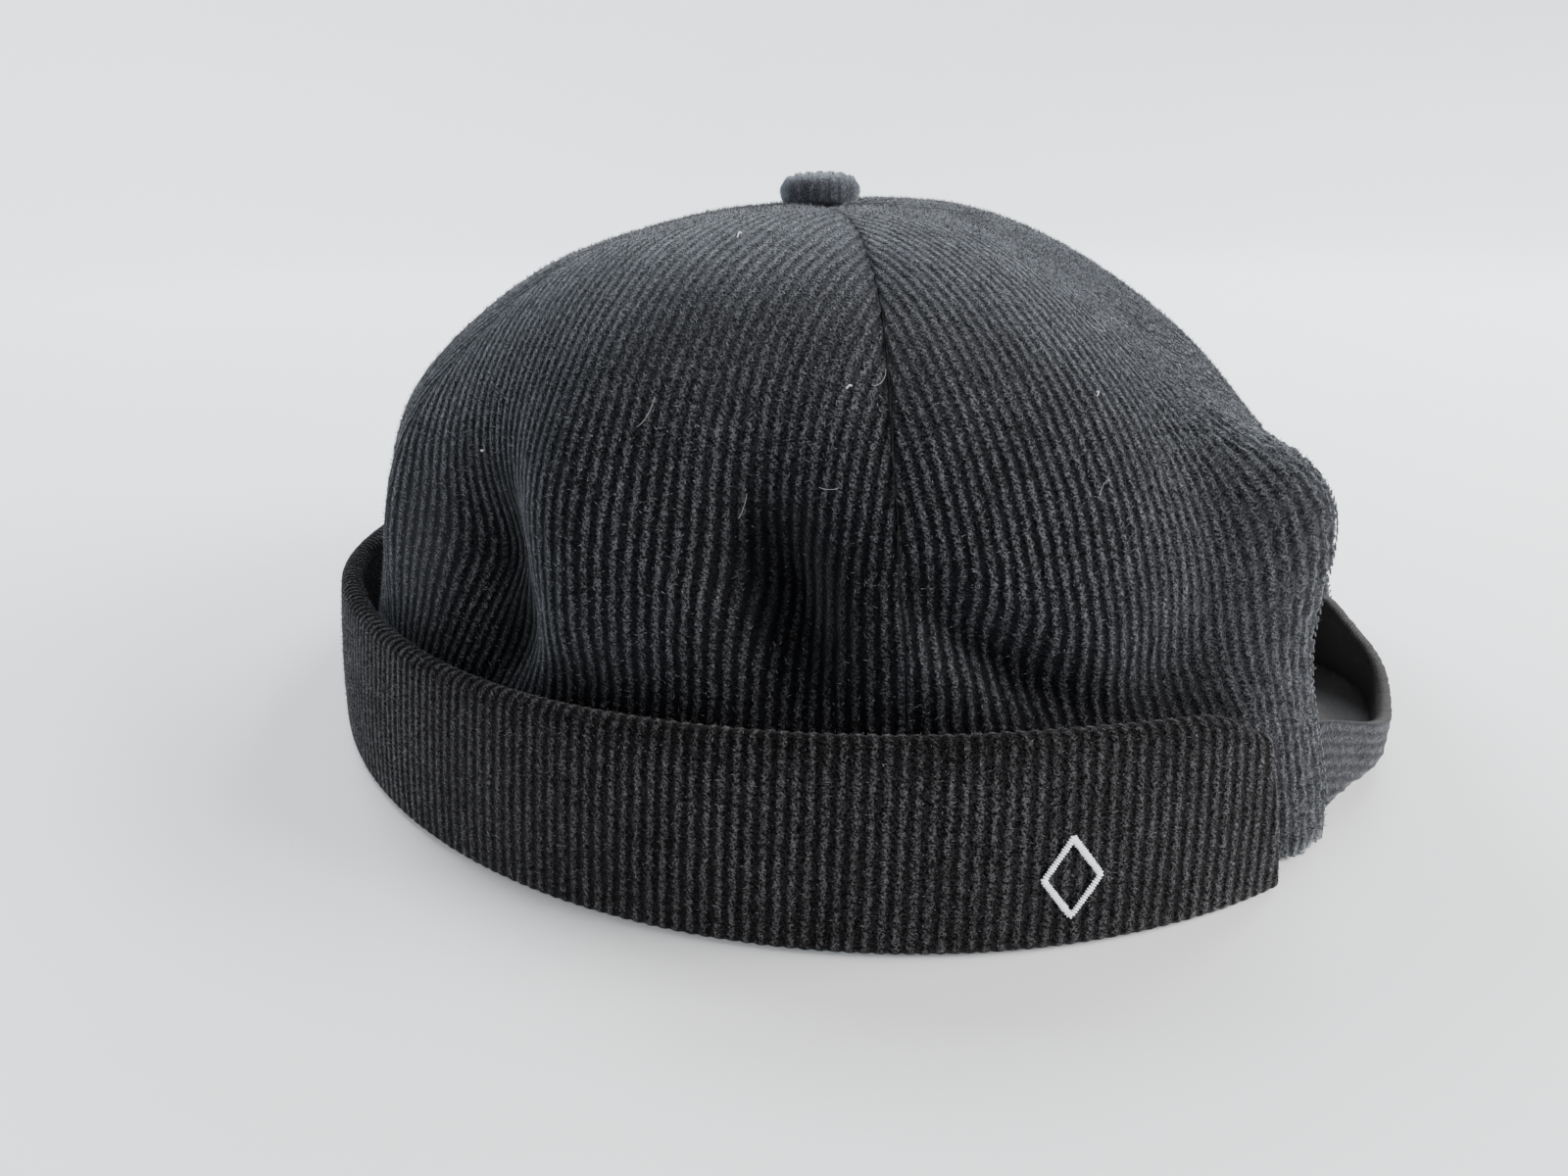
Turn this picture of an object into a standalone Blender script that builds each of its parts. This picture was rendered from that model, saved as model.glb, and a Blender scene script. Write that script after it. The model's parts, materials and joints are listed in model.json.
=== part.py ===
"""A brimless sailor cap in black corduroy.

Six crown panels meet under a cloth-covered button. A band turned up round their lower edge is the cuff,
and a strap of the same cloth bridges the arched opening at the back.

Metres, +Z up, the cap resting on z = 0. The front is -Y, the back +Y and the wearer's left +X.
An azimuth turns from the back (+Y) towards the wearer's left (+X).
"""

import math
from collections import namedtuple

import bpy
from mathutils import Vector

# The cuff: an oval band, leaning in a little, with a rolled upper edge and a web under the crown's edge
CUFF_HALF_WIDTH = 0.0975
CUFF_FRONT_LENGTH = 0.1055
CUFF_BACK_LENGTH = 0.1085
CUFF_OVAL_POWER = 1.97
CUFF_HEIGHT = 0.0315
CUFF_WALL = 0.0030
CUFF_LEAN = 0.0036
CUFF_LEAN_POWER = 1.5
CUFF_ROLL_RADIUS = 0.0021
CUFF_CORNER_RADIUS = 0.0016
CUFF_WEB_WIDTH = 0.0064
CUFF_WEB_THICKNESS = 0.0020
CUFF_END_AZIMUTH = math.radians(28)
CUFF_END_SLANT = math.radians(2.4)
CUFF_STATIONS = 72
CUFF_WALL_SHARES = (0.3, 0.55, 0.8)
CUFF_ROUND_STEP = math.radians(45)
CUFF_CORNER_STEPS = 2
CUFF_ROLL_STEPS = 4
Dip = namedtuple("Dip", "azimuth depth half_turn")
CUFF_DIPS = (
    Dip(azimuth=25, depth=0.0020, half_turn=14),
    Dip(azimuth=105, depth=0.0014, half_turn=28),
    Dip(azimuth=166, depth=0.0055, half_turn=30),
    Dip(azimuth=238, depth=0.0016, half_turn=24),
    Dip(azimuth=333, depth=0.0022, half_turn=18),
)

# The crown: an oval in plan, a superellipse in height that is full at the sides and slopes at the back
CROWN_HALF_WIDTH = 0.0905
CROWN_FRONT_LENGTH = 0.0930
CROWN_BACK_LENGTH = 0.1035
CROWN_OVAL_POWER = 2.03
CROWN_HEIGHT = 0.0916
CROWN_APEX_Y = -0.0035
CROWN_WALL = 0.0020
FRONT_FULLNESS = 2.34
SIDE_FULLNESS = 2.86
BACK_FULLNESS = 1.80
FOOT_REACH = 0.016
FOOT_HEIGHT = CUFF_WEB_THICKNESS + 0.0003
HEM_FOOT_HEIGHT = 0.0003
HEM_FOOT_AZIMUTHS = (math.radians(23), math.radians(27))
APEX_HOLE_RADIUS = 0.0050

# Sewn edges
PIECE_GAP = 0.0003
SEAM_DEPTH = 0.0005
SEAM_HALF_WIDTH = 0.0035
SEAM_AZIMUTHS = tuple(math.radians(degrees) for degrees in (0, 60, 124, 181, 238, 300, 360))
PANEL_COLUMNS = 15
PANEL_ROWS = 18

# The arched opening at the back, a rounded arch between two upright hems
ARCH_HALF_WIDTH = 0.0325
ARCH_HEIGHT = 0.0510
ARCH_POWER = 3.0
ARCH_ROWS = 9
ROWS_OVER_ARCH = 11

# The strap across the opening: upright at its sewn ends, its lower part tucked under in the middle
STRAP_HEIGHT = 0.0150
STRAP_OVERLAP = 0.0075
STRAP_THICKNESS = 0.0020
STRAP_REACH = 0.1063
STRAP_END_AZIMUTH = math.radians(24)
STRAP_FREE_AZIMUTH = math.radians(18.5)
STRAP_FOOT = 0.0005
STRAP_SEAT_GAP = 0.0006
STRAP_EASE_POWER = 1.7
STRAP_TUCK_ANGLE = math.radians(84)
STRAP_UPRIGHT_HEIGHT = 0.0066
STRAP_FOLD_LENGTH = 0.0055
STRAP_FOLD_POWER = 0.75
STRAP_OVERLAP_POWER = 0.5
STRAP_STATIONS = 28
STRAP_SECTION_STEPS = 9

# The middle of the whole length, strap included, lies at the origin
CENTRE_SHIFT = Vector((0.0, (CUFF_FRONT_LENGTH - STRAP_REACH) / 2, 0.0))

# The covered button on the apex, its shank in the hole where the panels meet
BUTTON_RADIUS = 0.0076
BUTTON_HEIGHT = 0.0053
BUTTON_FOOT_SHARE = 0.90
BUTTON_SHOULDER_SHARE = 0.42
BUTTON_DOME_POWER = 0.6
BUTTON_SHANK_RADIUS = 0.0044
BUTTON_SHANK_LENGTH = 0.0024
BUTTON_SIDES = 28
BUTTON_RINGS = 6

# Folds of the resting crown. Depth is inwards, so a ridge has a negative depth. The half spans are where
# a fold has sunk to a third of its depth, across and along the wales, and lean turns it in the cloth.
# No fold reaches the button: within the calm radius of the apex they all fade out.
CALM_RADIUS = 0.020
Fold = namedtuple("Fold", "azimuth height depth half_across half_along lean")
FOLDS = (
    Fold(azimuth=71, height=0.047, depth=0.0120, half_across=0.0068, half_along=0.013, lean=-14),
    Fold(azimuth=70, height=0.051, depth=0.0045, half_across=0.019, half_along=0.017, lean=0),
    Fold(azimuth=82, height=0.031, depth=0.0026, half_across=0.042, half_along=0.007, lean=0),
    Fold(azimuth=45, height=0.031, depth=0.0022, half_across=0.026, half_along=0.007, lean=0),
    Fold(azimuth=52, height=0.040, depth=0.0065, half_across=0.0045, half_along=0.013, lean=-54),
    Fold(azimuth=60, height=0.041, depth=-0.0012, half_across=0.0040, half_along=0.007, lean=0),
    Fold(azimuth=66, height=0.080, depth=-0.0050, half_across=0.042, half_along=0.013, lean=0),
    Fold(azimuth=94, height=0.056, depth=-0.0035, half_across=0.012, half_along=0.017, lean=0),
    Fold(azimuth=107, height=0.045, depth=0.0110, half_across=0.013, half_along=0.014, lean=0),
    Fold(azimuth=101, height=0.034, depth=0.0035, half_across=0.0060, half_along=0.012, lean=30),
    Fold(azimuth=124, height=0.046, depth=-0.0025, half_across=0.0050, half_along=0.018, lean=0),
    Fold(azimuth=134, height=0.060, depth=-0.0026, half_across=0.022, half_along=0.013, lean=0),
    Fold(azimuth=150, height=0.090, depth=0.0014, half_across=0.045, half_along=0.005, lean=0),
    Fold(azimuth=156, height=0.046, depth=0.0065, half_across=0.021, half_along=0.016, lean=0),
    Fold(azimuth=35, height=0.062, depth=-0.0030, half_across=0.018, half_along=0.014, lean=0),
    Fold(azimuth=34, height=0.034, depth=0.0030, half_across=0.014, half_along=0.009, lean=-20),
    Fold(azimuth=9, height=0.050, depth=-0.0030, half_across=0.018, half_along=0.009, lean=0),
    Fold(azimuth=17, height=0.046, depth=-0.0088, half_across=0.011, half_along=0.013, lean=0),
    Fold(azimuth=188, height=0.046, depth=0.0030, half_across=0.014, half_along=0.016, lean=10),
    Fold(azimuth=214, height=0.050, depth=-0.0020, half_across=0.010, half_along=0.016, lean=0),
    Fold(azimuth=238, height=0.046, depth=0.0065, half_across=0.014, half_along=0.017, lean=0),
    Fold(azimuth=258, height=0.079, depth=-0.0035, half_across=0.036, half_along=0.013, lean=0),
    Fold(azimuth=272, height=0.047, depth=0.0050, half_across=0.0085, half_along=0.014, lean=-15),
    Fold(azimuth=304, height=0.043, depth=0.0045, half_across=0.0070, half_along=0.015, lean=35),
    Fold(azimuth=340, height=0.052, depth=0.0010, half_across=0.012, half_along=0.010, lean=0),
)

Surface = namedtuple("Surface", "colour roughness")
CORDUROY = Surface(colour=(0.016, 0.016, 0.019, 1.0), roughness=0.92)
CUFF_CORDUROY = Surface(colour=(0.014, 0.014, 0.016, 1.0), roughness=0.92)
TWILL_BACKED = Surface(colour=(0.018, 0.017, 0.017, 1.0), roughness=0.86)

# Fineness of the reckoning
SLOPE_STEP = 0.002
BISECTIONS = 40
SHARP_ANGLE = math.radians(50)

PANEL_NAMES = ("back_left", "side_left", "front_left", "front_right", "side_right", "back_right")


def clear_scene():
    """Removes what the file opens with."""
    for item in list(bpy.data.objects):
        bpy.data.objects.remove(item, do_unlink=True)


def add_piece(name, vertices, faces, surface):
    """Makes one named object from its vertices and faces, with its own cloth."""
    mesh = bpy.data.meshes.new(name)
    mesh.from_pydata([Vector(vertex) + CENTRE_SHIFT for vertex in vertices], [], faces)
    mesh.validate()
    mesh.shade_smooth()
    mesh.set_sharp_from_angle(angle=SHARP_ANGLE)
    piece = bpy.data.objects.new(name, mesh)
    bpy.context.collection.objects.link(piece)
    material = bpy.data.materials.new(name + "_cloth")
    material.use_nodes = True
    principled = material.node_tree.nodes["Principled BSDF"]
    principled.inputs["Base Color"].default_value = surface.colour
    principled.inputs["Roughness"].default_value = surface.roughness
    principled.inputs["Metallic"].default_value = 0.0
    material.diffuse_color = surface.colour
    mesh.materials.append(material)
    return piece


def oval_radius(azimuth, half_width, half_length, power):
    """Distance from the centre to a superellipse in plan."""
    across = abs(math.sin(azimuth) / half_width) ** power
    along = abs(math.cos(azimuth) / half_length) ** power
    return (across + along) ** (-1 / power)


def cuff_radius(azimuth):
    """Outer radius of the cuff at its foot."""
    length = CUFF_BACK_LENGTH if math.cos(azimuth) > 0 else CUFF_FRONT_LENGTH
    return oval_radius(azimuth, CUFF_HALF_WIDTH, length, CUFF_OVAL_POWER)


def crown_radius(azimuth):
    """Radius of the crown's own oval, longer at the back than at the front."""
    length = CROWN_BACK_LENGTH if math.cos(azimuth) > 0 else CROWN_FRONT_LENGTH
    return oval_radius(azimuth, CROWN_HALF_WIDTH, length, CROWN_OVAL_POWER)


def fullness(azimuth):
    """Exponent of the crown's upright section: higher is squarer."""
    towards_back = math.cos(azimuth)
    end = BACK_FULLNESS if towards_back > 0 else FRONT_FULLNESS
    return SIDE_FULLNESS + (end - SIDE_FULLNESS) * towards_back**2


def smooth_crown(azimuth, climb):
    """Point of the crown without folds; climb runs from 0 at the foot to a right angle at the apex."""
    power = fullness(azimuth)
    scale = (math.cos(climb) ** power + math.sin(climb) ** power) ** (-1 / power)
    spread = math.cos(climb) * scale
    height = CROWN_HEIGHT * math.sin(climb) * scale
    radius = crown_radius(azimuth)
    flare = cuff_radius(azimuth) - CUFF_WALL - PIECE_GAP - radius
    out = flare * math.exp(-((height / FOOT_REACH) ** 2))
    x = math.sin(azimuth) * (radius * spread + out)
    y = CROWN_APEX_Y + (math.cos(azimuth) * radius - CROWN_APEX_Y) * spread + math.cos(azimuth) * out
    return Vector((x, y, height))


def crown_normal(azimuth, climb):
    """Outward normal of the crown without folds."""
    across = smooth_crown(azimuth + SLOPE_STEP, climb) - smooth_crown(azimuth - SLOPE_STEP, climb)
    up = smooth_crown(azimuth, climb + SLOPE_STEP) - smooth_crown(azimuth, climb - SLOPE_STEP)
    return up.cross(across).normalized()


def angle_between(azimuth, centre):
    """Signed turn from one azimuth to another, the short way round."""
    return (azimuth - centre + math.pi) % (2 * math.pi) - math.pi


def seam_valley(azimuth, point):
    """Depth of the shallow valley along each of the six seams."""
    reach = math.hypot(point.x, point.y - CROWN_APEX_Y)
    distance = min(abs(angle_between(azimuth, seam)) for seam in SEAM_AZIMUTHS) * reach
    return SEAM_DEPTH * math.exp(-((distance / SEAM_HALF_WIDTH) ** 2))


def fold_depth(azimuth, point):
    """How far the seams and all the folds together push the cloth inwards at a point."""
    total = 0.0
    reach = math.hypot(point.x, point.y)
    for fold in FOLDS:
        across = angle_between(azimuth, math.radians(fold.azimuth)) * reach
        along = point.z - fold.height
        lean = math.radians(fold.lean)
        turned_across = across * math.cos(lean) + along * math.sin(lean)
        turned_along = along * math.cos(lean) - across * math.sin(lean)
        falloff = (turned_across / fold.half_across) ** 2 + (turned_along / fold.half_along) ** 2
        total += fold.depth * math.exp(-falloff)
    calm = math.exp(-((math.hypot(point.x, point.y - CROWN_APEX_Y) / CALM_RADIUS) ** 2))
    return total * (1 - calm) + seam_valley(azimuth, point)


def crown_point(azimuth, climb, inset):
    """Point of the folded cloth, inset below its outer face."""
    point = smooth_crown(azimuth, climb)
    return point - crown_normal(azimuth, climb) * (fold_depth(azimuth, point) + inset)


def arch_edge(turn):
    """Half width and height of the arch, from the foot (turn 0) to its top (a right angle)."""
    half_width = ARCH_HALF_WIDTH * math.cos(turn) ** (2 / ARCH_POWER)
    return half_width, ARCH_HEIGHT * math.sin(turn) ** (2 / ARCH_POWER)


def climb_at(azimuth, height):
    """Climb at which the crown reaches a height."""
    low, high = 0.0, math.pi / 2
    for _ in range(BISECTIONS):
        middle = (low + high) / 2
        if smooth_crown(azimuth, middle).z < height:
            low = middle
        else:
            high = middle
    return (low + high) / 2


def azimuth_at(half_width, height):
    """Azimuth in the first back panel at which the crown is a given distance from the centre plane."""
    low, high = SEAM_AZIMUTHS[0], SEAM_AZIMUTHS[1]
    for _ in range(BISECTIONS):
        middle = (low + high) / 2
        if smooth_crown(middle, climb_at(middle, height)).x < half_width:
            low = middle
        else:
            high = middle
    return (low + high) / 2


def seam_gap_angle(azimuth, climb):
    """Turn that leaves half a gap beside a seam."""
    point = smooth_crown(azimuth, climb)
    return PIECE_GAP / 2 / math.hypot(point.x, point.y - CROWN_APEX_Y)


def apex_climb():
    """Climb at which every panel stops, under the button."""
    return math.pi / 2 - APEX_HOLE_RADIUS / CROWN_HALF_WIDTH


def plain_rows():
    """Climb and inner azimuth limit of each row of a panel that has no arch."""
    top = apex_climb()
    foot = climb_at(SEAM_AZIMUTHS[1], FOOT_HEIGHT)
    return [(foot + (top - foot) * i / PANEL_ROWS, None) for i in range(PANEL_ROWS + 1)]


def arched_rows():
    """Rows of a back panel: up the hem of the arch, then over the crown to the apex."""
    foot_turn = math.asin((FOOT_HEIGHT / ARCH_HEIGHT) ** (ARCH_POWER / 2))
    rows = []
    for i in range(ARCH_ROWS):
        turn = foot_turn + (math.pi / 2 - foot_turn) * i / ARCH_ROWS
        half_width, height = arch_edge(turn)
        azimuth = azimuth_at(half_width, height)
        rows.append((climb_at(azimuth, height), azimuth))
    arch_top = climb_at(0.0, ARCH_HEIGHT)
    apex = apex_climb()
    for i in range(ROWS_OVER_ARCH + 1):
        rows.append((arch_top + (apex - arch_top) * i / ROWS_OVER_ARCH, None))
    return rows


def edge_height(azimuth):
    """Height of the crown's lower edge: on the cuff's web, and down to the ground beside the opening."""
    low, high = HEM_FOOT_AZIMUTHS
    share = (abs(angle_between(azimuth, 0.0)) - low) / (high - low)
    return HEM_FOOT_HEIGHT + (FOOT_HEIGHT - HEM_FOOT_HEIGHT) * min(max(share, 0.0), 1.0)


def panel_vertices(rows, start, end, arch_side):
    """Outer then inner vertices of one panel, row by row."""
    vertices = []
    for inset in (0.0, CROWN_WALL):
        for row, (climb, arch_azimuth) in enumerate(rows):  # the first row is the lower edge
            first = start + seam_gap_angle(start, climb)
            last = end - seam_gap_angle(end, climb)
            if arch_azimuth is not None and arch_side == "start":
                first = arch_azimuth
            if arch_azimuth is not None and arch_side == "end":
                last = 2 * math.pi - arch_azimuth
            for column in range(PANEL_COLUMNS + 1):
                azimuth = first + (last - first) * column / PANEL_COLUMNS
                point = crown_point(azimuth, climb, inset)
                if row == 0:
                    point.z = edge_height(azimuth)
                vertices.append(point)
    return vertices


def wall_faces(row_count, column_count):
    """Faces of a closed wall whose outer and inner grids follow each other."""
    wide = column_count + 1
    inner = (row_count + 1) * wide

    def at(row, column, side):
        return side * inner + row * wide + column

    faces = []
    for row in range(row_count):
        for column in range(column_count):
            corners = ((row, column), (row, column + 1), (row + 1, column + 1), (row + 1, column))
            faces.append([at(r, c, 0) for r, c in reversed(corners)])
            faces.append([at(r, c, 1) for r, c in corners])
    for column in range(column_count):
        faces.append([at(0, column, 0), at(0, column + 1, 0), at(0, column + 1, 1), at(0, column, 1)])
        top = row_count
        faces.append([at(top, column + 1, 0), at(top, column, 0), at(top, column, 1), at(top, column + 1, 1)])
    for row in range(row_count):
        faces.append([at(row + 1, 0, 0), at(row, 0, 0), at(row, 0, 1), at(row + 1, 0, 1)])
        last = column_count
        faces.append([at(row, last, 0), at(row + 1, last, 0), at(row + 1, last, 1), at(row, last, 1)])
    return faces


def build_panel(index):
    """One of the six crown panels; the first and the last are cut by half of the arch."""
    name = PANEL_NAMES[index]
    arch_side = {"back_left": "start", "back_right": "end"}.get(name)
    rows = arched_rows() if arch_side else plain_rows()
    vertices = panel_vertices(rows, SEAM_AZIMUTHS[index], SEAM_AZIMUTHS[index + 1], arch_side)
    faces = wall_faces(len(rows) - 1, PANEL_COLUMNS)
    return add_piece("crown_panel_" + name, vertices, faces, CORDUROY)


def cuff_lean(height):
    """How far the cuff's outer face has leaned in at a height."""
    return CUFF_LEAN * (height / CUFF_HEIGHT) ** CUFF_LEAN_POWER


def cuff_height(azimuth):
    """Height of the cuff, a little lower where its edge dips."""
    height = CUFF_HEIGHT
    for dip in CUFF_DIPS:
        turn = angle_between(azimuth, math.radians(dip.azimuth)) / math.radians(dip.half_turn)
        height -= dip.depth * math.exp(-(turn**2))
    return height


def cuff_section(total_height):
    """Outline of the cuff's cut, as distances in from its outer oval and heights."""
    corner = CUFF_CORNER_RADIUS
    roll_height = total_height - CUFF_ROLL_RADIUS
    wall_heights = [roll_height * share for share in CUFF_WALL_SHARES]
    outline = [(CUFF_WEB_WIDTH, 0.0)]
    for step in range(CUFF_CORNER_STEPS + 1):
        turn = CUFF_ROUND_STEP * step
        outline.append((corner * (1 - math.sin(turn)), corner * (1 - math.cos(turn))))
    outline += [(cuff_lean(height), height) for height in wall_heights]
    roll_centre = cuff_lean(roll_height) + CUFF_ROLL_RADIUS
    for step in range(CUFF_ROLL_STEPS + 1):
        turn = CUFF_ROUND_STEP * step
        across = roll_centre - CUFF_ROLL_RADIUS * math.cos(turn)
        outline.append((across, roll_height + CUFF_ROLL_RADIUS * math.sin(turn)))
    outline += [(cuff_lean(height) + CUFF_WALL, height) for height in reversed(wall_heights)]
    outline.append((CUFF_WALL, CUFF_WEB_THICKNESS))
    outline.append((CUFF_WEB_WIDTH, CUFF_WEB_THICKNESS))
    return outline


def swept_faces(station_count, ring_size):
    """Faces of a closed section swept through stations, with an end cap on each side."""
    faces = []
    for station in range(station_count - 1):
        for i in range(ring_size):
            j = (i + 1) % ring_size
            a, b = station * ring_size, (station + 1) * ring_size
            faces.append([a + i, a + j, b + j, b + i])
    faces.append(list(reversed(range(ring_size))))
    faces.append([(station_count - 1) * ring_size + i for i in range(ring_size)])
    return faces


def build_cuff():
    """The turned-up cuff, from one side of the back opening round the front to the other."""
    vertices = []
    for station in range(CUFF_STATIONS + 1):
        share = station / CUFF_STATIONS
        foot_azimuth = CUFF_END_AZIMUTH + 2 * (math.pi - CUFF_END_AZIMUTH) * share
        section = cuff_section(cuff_height(foot_azimuth))
        for inset, height in section:
            azimuth = foot_azimuth + CUFF_END_SLANT * (1 - 2 * share) * height / CUFF_HEIGHT
            radius = cuff_radius(azimuth) - inset
            vertices.append((math.sin(azimuth) * radius, math.cos(azimuth) * radius, height))
    faces = swept_faces(CUFF_STATIONS + 1, len(section))
    return add_piece("turned_up_cuff", vertices, faces, CUFF_CORDUROY)


def strap_ease(azimuth):
    """0 where the strap is sewn to the hems, 1 in the middle of its free length."""
    share = min(abs(azimuth) / STRAP_FREE_AZIMUTH, 1.0)
    return (1 - share**2) ** STRAP_EASE_POWER


def strap_seat(azimuth):
    """Radius and lean of the face the strap's ends are sewn to, the inside of the crown's hem."""
    top_height = arch_edge(math.pi / 2 / ARCH_ROWS)[1]
    foot, top = (crown_point(azimuth, climb_at(azimuth, z), CROWN_WALL) for z in (FOOT_HEIGHT, top_height))
    foot_radius, top_radius = math.hypot(foot.x, foot.y), math.hypot(top.x, top.y)
    lean = math.atan2(foot_radius - top_radius, top_height - FOOT_HEIGHT / 2)
    return (foot_radius + top_radius) / 2 - STRAP_SEAT_GAP, lean


def strap_fold(ease):
    """How far down the strap the fold lies; at the sewn ends it has run out below the lower edge."""
    ended = STRAP_HEIGHT + STRAP_FOLD_LENGTH / 2
    return ended - (ended - STRAP_UPRIGHT_HEIGHT) * ease**STRAP_FOLD_POWER


def strap_section(azimuth):
    """Outer face of the strap at one azimuth, as (radius, height) pairs from its top edge down."""
    ease = strap_ease(azimuth)
    seat_radius, seat_lean = strap_seat(azimuth)
    step = (STRAP_HEIGHT + STRAP_OVERLAP * ease**STRAP_OVERLAP_POWER) / STRAP_SECTION_STEPS
    radius, height = 0.0, 0.0
    line = [(radius, height)]
    for i in range(STRAP_SECTION_STEPS):
        turned = ((i + 0.5) * step - strap_fold(ease)) / STRAP_FOLD_LENGTH + 0.5
        turned = min(max(turned, 0.0), 1.0)
        bend = STRAP_TUCK_ANGLE * turned**2 * (3 - 2 * turned)
        direction = bend - (1 - ease) * seat_lean
        radius -= step * math.sin(direction)
        height -= step * math.cos(direction)
        line.append((radius, height))
    lowest = min(height for _, height in line)
    middle_radius = line[STRAP_SECTION_STEPS // 2][0]
    shift = seat_radius + ease * (STRAP_REACH - strap_seat(0.0)[0]) - (1 - ease) * middle_radius
    return [(radius + shift, height - lowest + STRAP_FOOT) for radius, height in line]


def strap_ring(azimuth):
    """Closed ring of the strap at one azimuth: the inner face down, then the outer face up."""
    outer = strap_section(azimuth)
    inner = []
    for i, (radius, height) in enumerate(outer):
        ahead = outer[min(i + 1, len(outer) - 1)]
        behind = outer[max(i - 1, 0)]
        run, drop = ahead[0] - behind[0], ahead[1] - behind[1]
        length = math.hypot(run, drop)
        inner.append((radius + drop / length * STRAP_THICKNESS, height - run / length * STRAP_THICKNESS))
    return inner + outer[::-1]


def build_strap():
    """The strap across the back opening, its ends tucked inside the hems."""
    vertices = []
    for station in range(STRAP_STATIONS + 1):
        azimuth = STRAP_END_AZIMUTH * (2 * station / STRAP_STATIONS - 1)
        ring = strap_ring(azimuth)
        vertices += [(math.sin(azimuth) * r, math.cos(azimuth) * r, height) for r, height in ring]
    faces = swept_faces(STRAP_STATIONS + 1, len(ring))
    return add_piece("back_strap", vertices, faces, TWILL_BACKED)


def button_profile():
    """Radius and height of the button, from its shank over the widest part to the top."""
    profile = [(BUTTON_SHANK_RADIUS, -BUTTON_SHANK_LENGTH), (BUTTON_SHANK_RADIUS, 0.0)]
    shoulder = BUTTON_HEIGHT * BUTTON_SHOULDER_SHARE
    for turn in (0.0, math.pi / 4):
        share = BUTTON_FOOT_SHARE + (1 - BUTTON_FOOT_SHARE) * math.sin(turn)
        profile.append((BUTTON_RADIUS * share, shoulder * (1 - math.cos(turn))))
    for ring in range(BUTTON_RINGS):
        turn = math.pi / 2 * ring / BUTTON_RINGS
        spread = math.cos(turn) ** BUTTON_DOME_POWER
        profile.append((BUTTON_RADIUS * spread, shoulder + (BUTTON_HEIGHT - shoulder) * math.sin(turn)))
    return profile


def build_button():
    """The domed button over the point where the six panels meet."""
    profile = button_profile()
    foot = CROWN_HEIGHT + PIECE_GAP
    vertices = []
    for radius, height in profile:
        for side in range(BUTTON_SIDES):
            turn = 2 * math.pi * side / BUTTON_SIDES
            vertices.append((radius * math.cos(turn), CROWN_APEX_Y + radius * math.sin(turn), foot + height))
    top = len(vertices)
    vertices.append((0.0, CROWN_APEX_Y, foot + BUTTON_HEIGHT))
    faces = [list(reversed(range(BUTTON_SIDES)))]
    for ring in range(len(profile) - 1):
        for side in range(BUTTON_SIDES):
            after = (side + 1) % BUTTON_SIDES
            low, high = ring * BUTTON_SIDES, (ring + 1) * BUTTON_SIDES
            faces.append([low + side, low + after, high + after, high + side])
    last = (len(profile) - 1) * BUTTON_SIDES
    for side in range(BUTTON_SIDES):
        faces.append([last + side, last + (side + 1) % BUTTON_SIDES, top])
    return add_piece("crown_button", vertices, faces, CORDUROY)


def main():
    """Builds the cap."""
    clear_scene()
    for index in range(len(PANEL_NAMES)):
        build_panel(index)
    build_cuff()
    build_strap()
    build_button()


main()
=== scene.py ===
# %% [markdown]
# # A corduroy sailor cap
#
# A sailor cap has no brim. Six gores of black corduroy meet under a covered button, the lower edge is
# turned up into a cuff, and at the back a strap bridges an arched opening. The solids of the frame give
# every piece its place. This lesson dresses them in cloth: each gore becomes a sheet with real wales, the
# ribs of pile that make corduroy, and everything sewn gets its thread.

import json
import math
from collections import namedtuple

import bmesh
import bpy
import numpy as np
from mathutils import Matrix, Vector

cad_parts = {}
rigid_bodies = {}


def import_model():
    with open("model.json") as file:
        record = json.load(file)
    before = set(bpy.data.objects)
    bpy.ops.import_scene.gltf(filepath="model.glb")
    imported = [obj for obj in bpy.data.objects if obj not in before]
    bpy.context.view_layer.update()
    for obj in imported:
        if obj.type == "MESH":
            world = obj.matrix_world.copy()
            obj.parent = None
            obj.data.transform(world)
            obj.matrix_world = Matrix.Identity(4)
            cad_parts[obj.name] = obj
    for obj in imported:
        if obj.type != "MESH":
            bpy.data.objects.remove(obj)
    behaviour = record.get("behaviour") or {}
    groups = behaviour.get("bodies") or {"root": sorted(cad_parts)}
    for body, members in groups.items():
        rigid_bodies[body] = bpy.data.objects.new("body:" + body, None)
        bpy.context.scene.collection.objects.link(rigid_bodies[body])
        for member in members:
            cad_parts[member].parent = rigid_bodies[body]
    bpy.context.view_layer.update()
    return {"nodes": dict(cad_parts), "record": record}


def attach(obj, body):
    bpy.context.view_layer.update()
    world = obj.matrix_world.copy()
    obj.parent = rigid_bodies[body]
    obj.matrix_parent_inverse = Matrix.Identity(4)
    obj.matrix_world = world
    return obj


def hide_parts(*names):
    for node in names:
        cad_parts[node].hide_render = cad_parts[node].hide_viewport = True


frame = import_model()
record = frame["record"]
print("frame:", record["type"], "with", len(frame["nodes"]), "nodes")

# %% [markdown]
# ## The camera
#
# The photograph was taken from just above the cap and close to it, with a wide lens, so the near side of
# the cuff looks much larger than the far side. A camera placed by a few plain numbers shows that: how far
# round the cap it stands, how far away, how high, and how much it looks down.

# %% Camera
IMAGE_WIDTH = 1600
FOCAL_PIXELS = 1080
SENSOR_WIDTH_MM = 36.0
CAMERA_HEADING = math.radians(63)
CAMERA_DISTANCE = 0.2118
CAMERA_SIDE_STEP = 0.0112
CAMERA_HEIGHT = 0.100
CAMERA_PITCH = math.radians(22.17)
CAMERA_ROLL = math.radians(1.0)
CAMERA_CLIP_START = 0.01


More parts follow.
